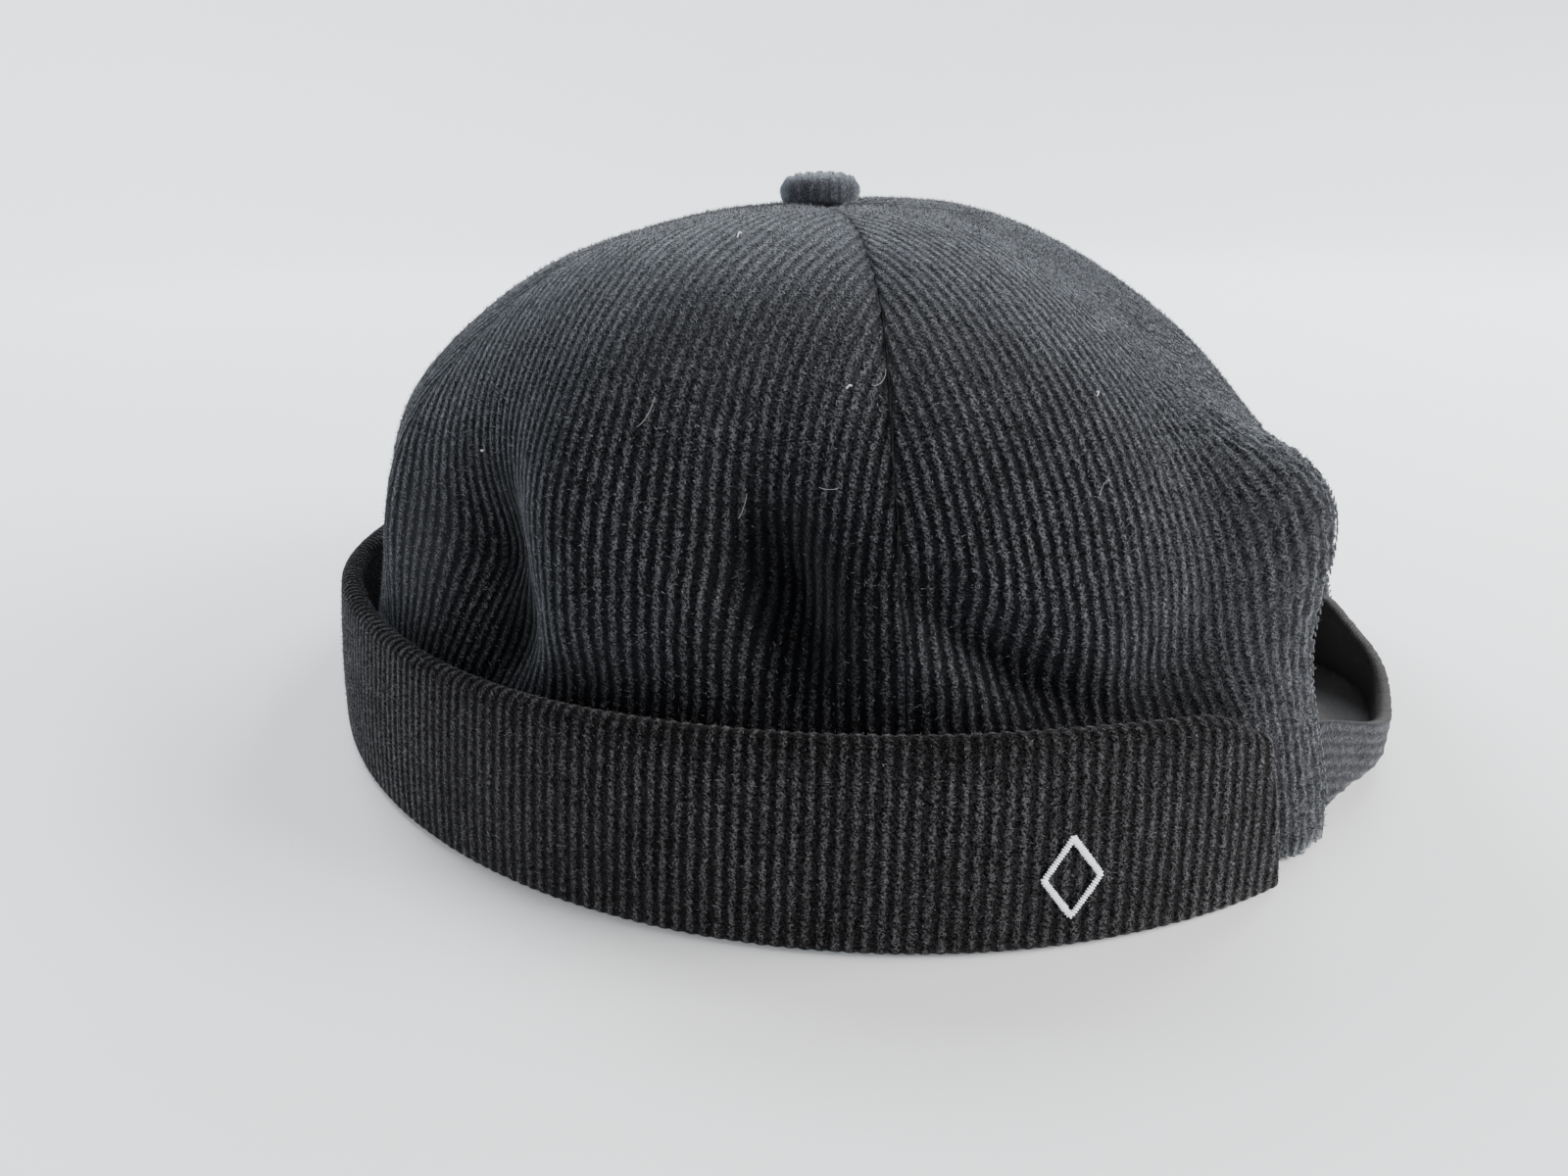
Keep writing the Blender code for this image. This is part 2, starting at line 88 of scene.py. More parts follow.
def add_camera(middle):
    """Makes the photograph's camera; middle is the point of the floor that its place is measured from."""
    ahead = Vector((-math.sin(CAMERA_HEADING), -math.cos(CAMERA_HEADING), 0.0))
    side = Vector((-math.cos(CAMERA_HEADING), math.sin(CAMERA_HEADING), 0.0))
    above = Vector((0.0, 0.0, 1.0))
    look = ahead * math.cos(CAMERA_PITCH) - above * math.sin(CAMERA_PITCH)
    level_up = ahead * math.sin(CAMERA_PITCH) + above * math.cos(CAMERA_PITCH)
    right = side * math.cos(CAMERA_ROLL) - level_up * math.sin(CAMERA_ROLL)
    up = side * math.sin(CAMERA_ROLL) + level_up * math.cos(CAMERA_ROLL)
    place = middle - ahead * CAMERA_DISTANCE - side * CAMERA_SIDE_STEP + above * CAMERA_HEIGHT
    lens = bpy.data.cameras.new("camera")
    lens.sensor_width = SENSOR_WIDTH_MM
    lens.lens = SENSOR_WIDTH_MM * FOCAL_PIXELS / IMAGE_WIDTH
    lens.clip_start = CAMERA_CLIP_START
    camera = bpy.data.objects.new("camera", lens)
    camera.matrix_world = Matrix((right, up, -look)).transposed().to_4x4()
    camera.location = place
    bpy.context.scene.collection.objects.link(camera)
    bpy.context.scene.camera = camera


# %% [markdown]
# ## The shape of the cap
#
# The solids were drawn from a few sizes and formulas, and the cloth has to lie exactly on them, so the same
# formulas come back here. This time they work on whole arrays of points at once, because cloth with real
# wales needs a few hundred thousand of them. An azimuth turns from the back of the cap towards the wearer's
# left, and a climb runs from the lower edge (0) to the top (a right angle).

# %% Sizes of the cap, in metres
CUFF_HALF_WIDTH = 0.0975
CUFF_FRONT_LENGTH = 0.1055
CUFF_BACK_LENGTH = 0.1085
CUFF_OVAL_POWER = 1.97
CUFF_HEIGHT = 0.0315
CUFF_WALL = 0.0030
CUFF_LEAN = 0.0036
CUFF_LEAN_POWER = 1.5
CUFF_ROLL_RADIUS = 0.0021
CUFF_CORNER_RADIUS = 0.0016
CUFF_WEB_WIDTH = 0.0064
CUFF_WEB_THICKNESS = 0.0020
CUFF_END_AZIMUTH = math.radians(28)
CUFF_END_SLANT = math.radians(2.4)

CROWN_HALF_WIDTH = 0.0905
CROWN_FRONT_LENGTH = 0.0930
CROWN_BACK_LENGTH = 0.1035
CROWN_OVAL_POWER = 2.03
CROWN_HEIGHT = 0.0916
CROWN_APEX_Y = -0.0035
CROWN_WALL = 0.0020
FRONT_FULLNESS = 2.34
SIDE_FULLNESS = 2.86
BACK_FULLNESS = 1.80
FOOT_REACH = 0.016
FOOT_HEIGHT = CUFF_WEB_THICKNESS + 0.0003
HEM_FOOT_HEIGHT = 0.0003
HEM_FOOT_AZIMUTHS = (math.radians(23), math.radians(27))
APEX_HOLE_RADIUS = 0.0050
PIECE_GAP = 0.0003
SEAM_DEPTH = 0.0005
SEAM_HALF_WIDTH = 0.0035
SEAM_AZIMUTHS = np.radians((0, 60, 124, 181, 238, 300, 360))

ARCH_HALF_WIDTH = 0.0325
ARCH_HEIGHT = 0.0510
ARCH_POWER = 3.0

STRAP_HEIGHT = 0.0150
STRAP_OVERLAP = 0.0075
STRAP_THICKNESS = 0.0020
STRAP_REACH = 0.1063
STRAP_END_AZIMUTH = math.radians(24)
STRAP_FREE_AZIMUTH = math.radians(18.5)
STRAP_FOOT = 0.0005
STRAP_SEAT_GAP = 0.0006
STRAP_EASE_POWER = 1.7
STRAP_TUCK_ANGLE = math.radians(84)
STRAP_UPRIGHT_HEIGHT = 0.0066
STRAP_FOLD_LENGTH = 0.0055
STRAP_FOLD_POWER = 0.75
STRAP_OVERLAP_POWER = 0.5

BUTTON_RADIUS = 0.0076
BUTTON_HEIGHT = 0.0053
BUTTON_FOOT_SHARE = 0.90
BUTTON_SHOULDER_SHARE = 0.42
BUTTON_DOME_POWER = 0.6

CENTRE_SHIFT = np.array((0.0, (CUFF_FRONT_LENGTH - STRAP_REACH) / 2, 0.0))

Dip = namedtuple("Dip", "azimuth depth half_turn")
CUFF_DIPS = (
    Dip(azimuth=25, depth=0.0020, half_turn=14),
    Dip(azimuth=105, depth=0.0014, half_turn=28),
    Dip(azimuth=166, depth=0.0055, half_turn=30),
    Dip(azimuth=238, depth=0.0016, half_turn=24),
    Dip(azimuth=333, depth=0.0022, half_turn=18),
)

Fold = namedtuple("Fold", "azimuth height depth half_across half_along lean")
FOLDS = [
    Fold(*row)
    for row in (
        # azimuth, height, depth, half_across, half_along, lean
        (71, 0.047, 0.0120, 0.0068, 0.013, -14),
        (70, 0.051, 0.0045, 0.019, 0.017, 0),
        (82, 0.031, 0.0026, 0.042, 0.007, 0),
        (45, 0.031, 0.0022, 0.026, 0.007, 0),
        (52, 0.040, 0.0065, 0.0045, 0.013, -54),
        (60, 0.041, -0.0012, 0.0040, 0.007, 0),
        (66, 0.080, -0.0050, 0.042, 0.013, 0),
        (94, 0.056, -0.0035, 0.012, 0.017, 0),
        (107, 0.045, 0.0110, 0.013, 0.014, 0),
        (101, 0.034, 0.0035, 0.0060, 0.012, 30),
        (124, 0.046, -0.0025, 0.0050, 0.018, 0),
        (134, 0.060, -0.0026, 0.022, 0.013, 0),
        (150, 0.090, 0.0014, 0.045, 0.005, 0),
        (156, 0.046, 0.0065, 0.021, 0.016, 0),
        (35, 0.062, -0.0030, 0.018, 0.014, 0),
        (34, 0.034, 0.0030, 0.014, 0.009, -20),
        (9, 0.050, -0.0030, 0.018, 0.009, 0),
        (17, 0.046, -0.0088, 0.011, 0.013, 0),
        (188, 0.046, 0.0030, 0.014, 0.016, 10),
        (214, 0.050, -0.0020, 0.010, 0.016, 0),
        (238, 0.046, 0.0065, 0.014, 0.017, 0),
        (258, 0.079, -0.0035, 0.036, 0.013, 0),
        (272, 0.047, 0.0050, 0.0085, 0.014, -15),
        (304, 0.043, 0.0045, 0.0070, 0.015, 35),
        (340, 0.052, 0.0010, 0.012, 0.010, 0),
    )
]
print("folds in the cloth:", len(FOLDS), "and dips in the cuff's edge:", len(CUFF_DIPS))

# %% The smooth crown
SLOPE_STEP = 0.002


def oval_radius(azimuth, half_width, half_length, power):
    """Distance from the centre to a superellipse in plan."""
    across = np.abs(np.sin(azimuth) / half_width) ** power
    along = np.abs(np.cos(azimuth) / half_length) ** power
    return (across + along) ** (-1 / power)


def cuff_radius(azimuth):
    """Outer radius of the cuff at its foot."""
    length = np.where(np.cos(azimuth) > 0, CUFF_BACK_LENGTH, CUFF_FRONT_LENGTH)
    return oval_radius(azimuth, CUFF_HALF_WIDTH, length, CUFF_OVAL_POWER)


def crown_radius(azimuth):
    """Radius of the crown's own oval."""
    length = np.where(np.cos(azimuth) > 0, CROWN_BACK_LENGTH, CROWN_FRONT_LENGTH)
    return oval_radius(azimuth, CROWN_HALF_WIDTH, length, CROWN_OVAL_POWER)


def smooth_crown(azimuth, climb):
    """Points of the crown without folds."""
    azimuth, climb = np.broadcast_arrays(np.asarray(azimuth, float), np.asarray(climb, float))
    towards_back = np.cos(azimuth)
    end = np.where(towards_back > 0, BACK_FULLNESS, FRONT_FULLNESS)
    power = SIDE_FULLNESS + (end - SIDE_FULLNESS) * towards_back**2
    level = np.clip(np.cos(climb), 0.0, 1.0)
    scale = (level**power + np.sin(climb) ** power) ** (-1 / power)
    spread = level * scale
    height = CROWN_HEIGHT * np.sin(climb) * scale
    radius = crown_radius(azimuth)
    flare = cuff_radius(azimuth) - CUFF_WALL - PIECE_GAP - radius
    out = flare * np.exp(-((height / FOOT_REACH) ** 2))
    x = np.sin(azimuth) * (radius * spread + out)
    y = CROWN_APEX_Y + (towards_back * radius - CROWN_APEX_Y) * spread + towards_back * out
    return np.stack((x, y, height), axis=-1)


def unit(vectors):
    """The same directions, one long."""
    return vectors / np.linalg.norm(vectors, axis=-1, keepdims=True)


def crown_normal(azimuth, climb):
    """Outward directions of the crown without folds."""
    across = smooth_crown(azimuth + SLOPE_STEP, climb) - smooth_crown(azimuth - SLOPE_STEP, climb)
    up = smooth_crown(azimuth, climb + SLOPE_STEP) - smooth_crown(azimuth, climb - SLOPE_STEP)
    return unit(np.cross(up, across))


def angle_between(azimuth, centre):
    """Signed turn from one azimuth to another, the short way round."""
    return (azimuth - centre + math.pi) % (2 * math.pi) - math.pi


# %% The folded crown
CALM_RADIUS = 0.020
CREASE_DEPTH = 0.00008
CREASE_HALF_WIDTH = 0.0007
BACK_SEAM_FLATNESS = 0.8
BACK_SEAM_TURN = math.radians(20)
BISECTIONS = 44


def seam_distance(azimuth, point):
    """Distance along the cloth to the nearest of the six seams."""
    reach = np.hypot(point[..., 0], point[..., 1] - CROWN_APEX_Y)
    turns = [np.abs(angle_between(azimuth, seam)) for seam in SEAM_AZIMUTHS]
    return np.min(turns, axis=0) * reach


def fold_depth(azimuth, point):
    """How far all the folds together, and the seams, push the cloth inwards."""
    distance = seam_distance(azimuth, point)
    seams = SEAM_DEPTH * np.exp(-((distance / SEAM_HALF_WIDTH) ** 2))
    seams += CREASE_DEPTH * np.exp(-((distance / CREASE_HALF_WIDTH) ** 2))
    seams *= 1 - BACK_SEAM_FLATNESS * np.exp(-((angle_between(azimuth, 0.0) / BACK_SEAM_TURN) ** 2))
    total = np.zeros_like(distance)
    reach = np.hypot(point[..., 0], point[..., 1])
    for fold in FOLDS:
        across = angle_between(azimuth, math.radians(fold.azimuth)) * reach
        along = point[..., 2] - fold.height
        lean = math.radians(fold.lean)
        turned_across = across * math.cos(lean) + along * math.sin(lean)
        turned_along = along * math.cos(lean) - across * math.sin(lean)
        falloff = (turned_across / fold.half_across) ** 2 + (turned_along / fold.half_along) ** 2
        total += fold.depth * np.exp(-falloff)
    calm = np.exp(-((np.hypot(point[..., 0], point[..., 1] - CROWN_APEX_Y) / CALM_RADIUS) ** 2))
    return total * (1 - calm) + seams


def crown_cloth(azimuth, climb, inset=0.0):
    """Points of the folded cloth, inset below its outer face."""
    point = smooth_crown(azimuth, climb)
    push = fold_depth(azimuth, point) + inset
    return point - crown_normal(azimuth, climb) * push[..., None]


def arch_level(point):
    """1 on the edge of the arched opening, less inside it and more outside."""
    across = np.abs(point[..., 0]) / ARCH_HALF_WIDTH
    up = np.maximum(point[..., 2], 0.0) / ARCH_HEIGHT
    return (across**ARCH_POWER + up**ARCH_POWER) ** (1 / ARCH_POWER)


def bisect(low, high, is_low):
    """Where is_low turns false between low and high, for whole arrays of them."""
    for _ in range(BISECTIONS):
        middle = (low + high) / 2
        below = is_low(middle)
        low, high = np.where(below, middle, low), np.where(below, high, middle)
    return (low + high) / 2


def climb_at(azimuth, height):
    """Climb at which the crown reaches a height."""
    azimuth = np.asarray(azimuth, float)
    zero = np.zeros_like(azimuth)
    return bisect(zero, zero + math.pi / 2, lambda c: smooth_crown(azimuth, c)[..., 2] < height)


print("the crown without folds is", round(2000 * CROWN_HALF_WIDTH), "mm wide at its widest")

# %% [markdown]
# ## A mesh from a grid of points
#
# A gore narrows to a point, but its wales stay the same distance apart: they run into the seams one after
# another. So the grid has a column for every sixth of a wale, at the same distance from the middle
# everywhere, and a column that would lie beyond the seam is moved onto it. The points that then coincide
# are merged. The back of the cloth is smooth, so it needs only every sixth column. What the node trees
# further on have to know about a point is stored on it by name, in layers.

# %% Closed cloth from two grids
WALE_PITCH = 0.00203
WALE_SAMPLES = 6
COLUMN_STEP = WALE_PITCH / WALE_SAMPLES
MERGE_DISTANCE = 2e-7


def strip_faces(row_count, column_count, first, flipped):
    """Quads of a grid whose points start at index first."""
    wide = column_count + 1
    rows, columns = np.meshgrid(np.arange(row_count), np.arange(column_count), indexing="ij")
    corner = (first + rows * wide + columns).ravel()
    quads = np.stack((corner, corner + 1, corner + wide + 1, corner + wide), axis=-1)
    return (quads[:, ::-1] if flipped else quads).tolist()


def edge_faces(outer_line, inner_line, flipped):
    """Polygons between a dense edge and one with a point to every wale."""
    faces = []
    for i in range(len(inner_line) - 1):
        dense = outer_line[i * WALE_SAMPLES : (i + 1) * WALE_SAMPLES + 1]
        face = dense + [inner_line[i + 1], inner_line[i]]
        faces.append(face[::-1] if flipped else face)
    return faces


def weld(mesh):
    """Merges the points that coincide, and smooths the shading."""
    welded = bmesh.new()
    welded.from_mesh(mesh)
    bmesh.ops.remove_doubles(welded, verts=welded.verts, dist=MERGE_DISTANCE)
    welded.to_mesh(mesh)
    welded.free()
    mesh.shade_smooth()


def cloth_mesh(name, points, faces, layers, outside_count):
    """A mesh with its layers stored on its points, and its first faces marked as the outside of the cloth."""
    mesh = bpy.data.meshes.new(name)
    mesh.from_pydata((points + CENTRE_SHIFT).tolist(), [], faces)
    for layer, values in layers.items():
        padded = np.zeros(len(points), np.float32)
        padded[: values.size] = values.ravel()
        mesh.attributes.new(layer, "FLOAT", "POINT").data.foreach_set("value", padded)
    flags = np.arange(len(faces)) < outside_count
    mesh.attributes.new("outside", "BOOLEAN", "FACE").data.foreach_set("value", flags)
    return mesh


def closed_cloth(name, outer, inner, layers, flipped=False, painted_top_light=0.0):
    """Mesh of a piece of cloth: outer and inner are grids of points, rows by columns by three."""
    row_count, column_count = outer.shape[0] - 1, outer.shape[1] - 1
    start = outer.shape[0] * outer.shape[1]
    faces = strip_faces(row_count, column_count, 0, flipped)
    outside_count = len(faces)
    faces += strip_faces(row_count, inner.shape[1] - 1, start, not flipped)
    outer_index = np.arange(start).reshape(outer.shape[:2])
    inner_index = start + np.arange(inner.shape[0] * inner.shape[1]).reshape(inner.shape[:2])
    faces += edge_faces(outer_index[0].tolist(), inner_index[0].tolist(), not flipped)
    faces += edge_faces(outer_index[-1].tolist(), inner_index[-1].tolist(), flipped)
    for column, turned in ((0, flipped), (-1, not flipped)):
        outside, inside = outer_index[:, column].tolist(), inner_index[:, column].tolist()
        for row in range(row_count):
            face = [outside[row], outside[row + 1], inside[row + 1], inside[row]]
            faces.append(face[::-1] if turned else face)
    points = np.concatenate((outer.reshape(-1, 3), inner.reshape(-1, 3)))
    # Painted light on the inner face, for each inner point; painted shade where it is 0.
    back = np.broadcast_to(painted_top_light, inner.shape[:2]).ravel()
    layers = {**layers, "painted_top_light": np.concatenate((np.zeros(start), back))}
    mesh = cloth_mesh(name, points, faces, layers, outside_count)
    weld(mesh)
    return mesh


def add_object(name, mesh):
    """Puts a mesh into the scene as an object of that name."""
    piece = bpy.data.objects.new(name, mesh)
    bpy.context.scene.collection.objects.link(piece)
    return piece


print("columns to a wale:", WALE_SAMPLES, "which is one every", round(1e6 * COLUMN_STEP), "micrometres")

# %% [markdown]
# ## Node trees in a few words
#
# Wales, stitches and fibres are made by Geometry Nodes, and finishes by shader nodes. Both kinds of tree
# are built by one small class. A second class wraps a socket that carries a number, so that sums on it can
# be written the way they are on paper, and each sum adds its Math node.

# %% Helpers for node trees
class Number:
    """A number that flows through a node tree. Arithmetic on it adds Math nodes."""

    def __init__(self, graph, socket):
        self.graph = graph
        self.socket = socket

    def __add__(self, other):
        return self.graph.sum("ADD", self, other)

    def __sub__(self, other):
        return self.graph.sum("SUBTRACT", self, other)

    def __rsub__(self, other):
        return self.graph.sum("SUBTRACT", other, self)

    def __mul__(self, other):
        return self.graph.sum("MULTIPLY", self, other)

    def __truediv__(self, other):
        return self.graph.sum("DIVIDE", self, other)

    def __pow__(self, other):
        return self.graph.sum("POWER", self, other)

    __radd__ = __add__
    __rmul__ = __mul__


class Graph:
    """Builds a node tree, for a material or for geometry."""

    def __init__(self, tree):
        self.tree = tree

    def node(self, kind, settings=None, sockets=None):
        """Adds a node: its settings first, then a value or a link for each socket named or numbered."""
        made = self.tree.nodes.new(kind)
        for name, value in (settings or {}).items():
            setattr(made, name, value)
        self.feed_all(made, sockets or {})
        return made

    def feed(self, socket, value):
        """Links a socket to another, or gives it a value."""
        if isinstance(value, Number):
            value = value.socket
        if isinstance(value, bpy.types.NodeSocket):
            self.tree.links.new(value, socket)
        else:
            socket.default_value = value

    def feed_all(self, node, values):
        """Feeds several sockets of a node."""
        for key, value in values.items():
            self.feed(node.inputs[key], value)

    def number(self, node, output=0):
        """One of a node's outputs, as a number to reckon with."""
        return Number(self, node.outputs[output])

    def sum(self, operation, *values):
        """A Math node on one, two or three values."""
        return self.number(self.node("ShaderNodeMath", {"operation": operation}, dict(enumerate(values))))

    def clamp(self, value):
        """A value held between 0 and 1."""
        return self.sum("MINIMUM", self.sum("MAXIMUM", value, 0.0), 1.0)

    def above(self, value, start, slope):
        """0 up to the start, then rising with the slope, and never more than 1."""
        return self.clamp((value - start) * slope)

    def mix(self, factor, first, second):
        """A colour between two others."""
        node = self.node("ShaderNodeMix", {"data_type": "RGBA"}, {0: factor, 6: first, 7: second})
        return node.outputs[2]

    def noise(self, place, size, detail=2.0, roughness=0.5):
        """Noise whose spots are about one size across, centred on a half."""
        sockets = {"Vector": place, "Scale": 1 / size, "Detail": detail, "Roughness": roughness}
        return self.number(self.node("ShaderNodeTexNoise", sockets=sockets))

    def painted(self, name):
        """A layer of the mesh, as a finish reads it."""
        return self.number(self.node("ShaderNodeAttribute", {"attribute_name": name}), "Fac")

    def stored(self, name, kind="FLOAT"):
        """A layer of the mesh, as Geometry Nodes read it."""
        return self.number(self.node("GeometryNodeInputNamedAttribute", {"data_type": kind}, {"Name": name}))


def geometry_tree(name, sizes):
    """A tree of Geometry Nodes with a mesh going in and named sizes; returns its graph and all its inputs."""
    tree = bpy.data.node_groups.new(name, "GeometryNodeTree")
    tree.is_modifier = True
    tree.interface.new_socket("Geometry", in_out="INPUT", socket_type="NodeSocketGeometry")
    for label, kind in sizes.items():
        tree.interface.new_socket(label, in_out="INPUT", socket_type="NodeSocket" + kind)
    tree.interface.new_socket("Geometry", in_out="OUTPUT", socket_type="NodeSocketGeometry")
    graph = Graph(tree)
    given = graph.node("NodeGroupInput").outputs
    return graph, {label: Number(graph, given[label]) for label in ("Geometry", *sizes)}


def finish_tree(graph, geometry, material):
    """Ends a tree with real geometry in one material."""
    real = graph.node("GeometryNodeRealizeInstances", sockets={0: geometry})
    dressed = graph.node("GeometryNodeSetMaterial", sockets={0: real.outputs[0], "Material": material})
    graph.node("NodeGroupOutput", sockets={0: dressed.outputs[0]})


def grow(piece, tree, values):
    """Runs a tree on a piece with its named inputs, and keeps the result as a plain mesh."""
    modifier = piece.modifiers.new(tree.name, "NODES")
    modifier.node_group = tree
    for item in tree.interface.items_tree:
        if item.in_out == "INPUT" and item.name in values:
            modifier[item.identifier] = values[item.name]
    evaluated = piece.evaluated_get(bpy.context.evaluated_depsgraph_get())
    made = bpy.data.meshes.new_from_object(evaluated)
    piece.modifiers.remove(modifier)
    piece.data = made
    made.name = piece.name
    return piece


# %% [markdown]
# ## Corduroy
#
# Corduroy is a plain cloth with tufts of pile standing in rows. The tops of the rows are rounded and
# catch the light, and the grooves between them are nearly black. At a glancing angle the pile lights up,
# which is what sheen is for. So the finish mixes two shaders: a dark ground, and the pale tips of the
# fibres. Where a tip shows depends on how high on a wale the point is, on noise that breaks the rows up
# into slanting tufts, and on the layers of the mesh: painted shade darkens a point in a fold, low beside
# the cuff and on the cuff's roll, each seam is painted as a thin dark line, a matted point has less
# contrast between row and groove, and painted light pales a point along the edge of the opening and in a
# few patches.

# %% Finishes
MILLIMETRE = 0.001
TUFT_LENGTH = 0.75 * MILLIMETRE
TUFT_WIDTH = 0.34 * MILLIMETRE
TUFT_SLANT = math.radians(35)
FIBRE_SPOT = 0.30 * MILLIMETRE
RAGGED_SPOT = 0.80 * MILLIMETRE
PATCH = 9 * MILLIMETRE
PILE_BUMP = 0.22 * MILLIMETRE
PILE_SHEEN_ROUGHNESS = 0.38
CREST_START = 0.60
CREST_RAGGEDNESS = 1.4
CREST_SLOPE = 2.2
TIP_START = 0.62
TIP_SLOPE = 5.0
# How much the painted shade of folds, the cuff and its roll darkens the cloth.
FOLD_SHADE = 0.68
MATTED_LEVEL = 0.55
MATTED_SHARE = 0.55
# How much the painted light along the opening's edge and in patches pales the tips.
PAINTED_LIGHT_PALENESS = 0.45
Cloth = namedtuple("Cloth", "groove pile tip ground_sheen tip_sheen sheen_tint")
CROWN_CLOTH = Cloth(
    groove=(0.0020, 0.0020, 0.0023, 1),
    pile=(0.0090, 0.0090, 0.0098, 1),
    tip=(0.118, 0.119, 0.127, 1),
    ground_sheen=0.12,
    tip_sheen=0.75,
    sheen_tint=(0.88, 0.93, 1.0, 1),
)
CUFF_CLOTH = Cloth(
    groove=(0.0014, 0.0013, 0.0014, 1),
    pile=(0.0078, 0.0072, 0.0075, 1),
    tip=(0.096, 0.092, 0.095, 1),
    ground_sheen=0.06,
    tip_sheen=0.5,
    sheen_tint=(0.95, 0.94, 0.97, 1),
)
STRAP_CLOTH = Cloth(
    groove=(0.0120, 0.0120, 0.0130, 1),
    pile=(0.0250, 0.0250, 0.0270, 1),
    tip=(0.100, 0.101, 0.109, 1),
    ground_sheen=0.2,
    tip_sheen=0.6,
    sheen_tint=(0.92, 0.95, 1.0, 1),
)
BUTTON_CLOTH = Cloth(
    groove=(0.0220, 0.0228, 0.0258, 1),
    pile=(0.0480, 0.0495, 0.0560, 1),
    tip=(0.150, 0.157, 0.176, 1),
    ground_sheen=0.38,
    tip_sheen=0.75,
    sheen_tint=(0.82, 0.90, 1.0, 1),
)
TWILL_DARK, TWILL_PALE = (0.0100, 0.0095, 0.0095, 1), (0.200, 0.190, 0.190, 1)
TWILL_SCALE = 900.0
TWILL_BUMP = 0.1 * MILLIMETRE
# Brightness kept under painted shade on the back of the cloth.
SHADED_BRIGHTNESS = 0.30
FIBRE_DARK, FIBRE_PALE = (0.020, 0.020, 0.021, 1), (0.170, 0.172, 0.180, 1)


def new_material(name):
    """A new material, its graph, its Principled shader and a place on the object for noise."""
    material = bpy.data.materials.new(name)
    material.use_nodes = True
    graph = Graph(material.node_tree)
    place = graph.node("ShaderNodeTexCoord").outputs["Object"]
    return material, graph, material.node_tree.nodes["Principled BSDF"], place


def tuft_place(graph):
    """A place on the cloth for noise whose spots lie slanting over the wales, as the tufts do."""
    across, along = graph.painted("across"), graph.painted("along")
    cosine, sine = math.cos(TUFT_SLANT), math.sin(TUFT_SLANT)
    lengthways = (across * cosine + along * sine) / TUFT_LENGTH
    sideways = (along * cosine - across * sine) / TUFT_WIDTH
    return graph.node("ShaderNodeCombineXYZ", sockets={0: lengthways, 1: sideways}).outputs[0]


def corduroy(name, cloth):
    """Pile in rows: a dark ground, and pale fibre tips on ragged ridges, each with its own soft sheen."""
    material, graph, ground, place = new_material(name)
    tufts = graph.noise(tuft_place(graph), 1.0, roughness=0.6)
    fibres = graph.noise(place, FIBRE_SPOT, roughness=0.75)
    ragged = graph.noise(place, RAGGED_SPOT, detail=3.0, roughness=0.7)
    patches = graph.noise(place, PATCH)
    crest = graph.painted("ridge") + (ragged - 0.5) * CREST_RAGGEDNESS
    crest = graph.above(crest, CREST_START, CREST_SLOPE)
    crest = crest + (MATTED_LEVEL - crest) * graph.painted("matted") * MATTED_SHARE
    # Painted shade: colour and tips darken in folds, low beside the cuff, on the cuff's roll and on seams.
    outside_painted_shade = 1.0 - FOLD_SHADE * graph.painted("painted_shade")
    speckle = graph.above(tufts * 0.5 + fibres * 0.9, TIP_START, TIP_SLOPE)
    # Painted light adds pale tips along the edge of the opening and in the light patches.
    tips = speckle * (0.10 + 0.75 * crest) * (0.5 + patches) + PAINTED_LIGHT_PALENESS * graph.painted("wear_and_painted_light")
    cover = graph.clamp(tips) * outside_painted_shade
    colour = graph.mix(crest * (0.4 + 0.7 * tufts) * outside_painted_shade, cloth.groove, cloth.pile)
    height = tufts * 0.8 + fibres * 0.8
    bump = graph.node("ShaderNodeBump", sockets={"Strength": 0.8, "Distance": PILE_BUMP, "Height": height})
    pale = graph.node("ShaderNodeBsdfPrincipled")
    for shader, shown, sheen in ((ground, colour, cloth.ground_sheen), (pale, cloth.tip, cloth.tip_sheen)):
        values = {
            "Base Color": shown,
            "Normal": bump.outputs[0],
            "Roughness": 1.0,
            "Specular IOR Level": 0.0,
            "Sheen Weight": sheen,
            "Sheen Roughness": PILE_SHEEN_ROUGHNESS,
            "Sheen Tint": cloth.sheen_tint,
        }
        graph.feed_all(shader, values)
    mixed = graph.node("ShaderNodeMixShader", sockets={0: cover, 1: ground.outputs[0], 2: pale.outputs[0]})
    graph.feed(material.node_tree.nodes["Material Output"].inputs["Surface"], mixed.outputs[0])
    return material


def twill_back(name):
    """The smooth back of the cloth: fine slanting ribs of yarn, painted light where a face turns up and
    painted shade elsewhere.
    """
    material, graph, shader, place = new_material(name)
    wave = graph.node(
        "ShaderNodeTexWave",
        {"wave_type": "BANDS", "bands_direction": "DIAGONAL"},
        {"Vector": place, "Scale": TWILL_SCALE, "Distortion": 1.5, "Detail": 2.0, "Detail Scale": 3.0},
    )
    ribs = graph.number(wave, "Fac")
    fuzz = graph.noise(place, 0.5 * MILLIMETRE)
    shade = graph.clamp(0.25 + 0.35 * ribs + 0.5 * fuzz)
    # Painted light on faces turned up, painted shade elsewhere.
    shade = shade * (SHADED_BRIGHTNESS + (1 - SHADED_BRIGHTNESS) * graph.painted("painted_top_light"))
    sockets = {"Strength": 0.5, "Distance": TWILL_BUMP, "Height": ribs + fuzz}
    values = {
        "Base Color": graph.mix(shade, TWILL_DARK, TWILL_PALE),
        "Roughness": 0.95 - 0.1 * fuzz,
        "Normal": graph.node("ShaderNodeBump", sockets=sockets).outputs[0],
        "Specular IOR Level": 0.0,
        "Sheen Weight": 0.08,
        "Sheen Roughness": 0.5,
    }
    graph.feed_all(shader, values)
    return material


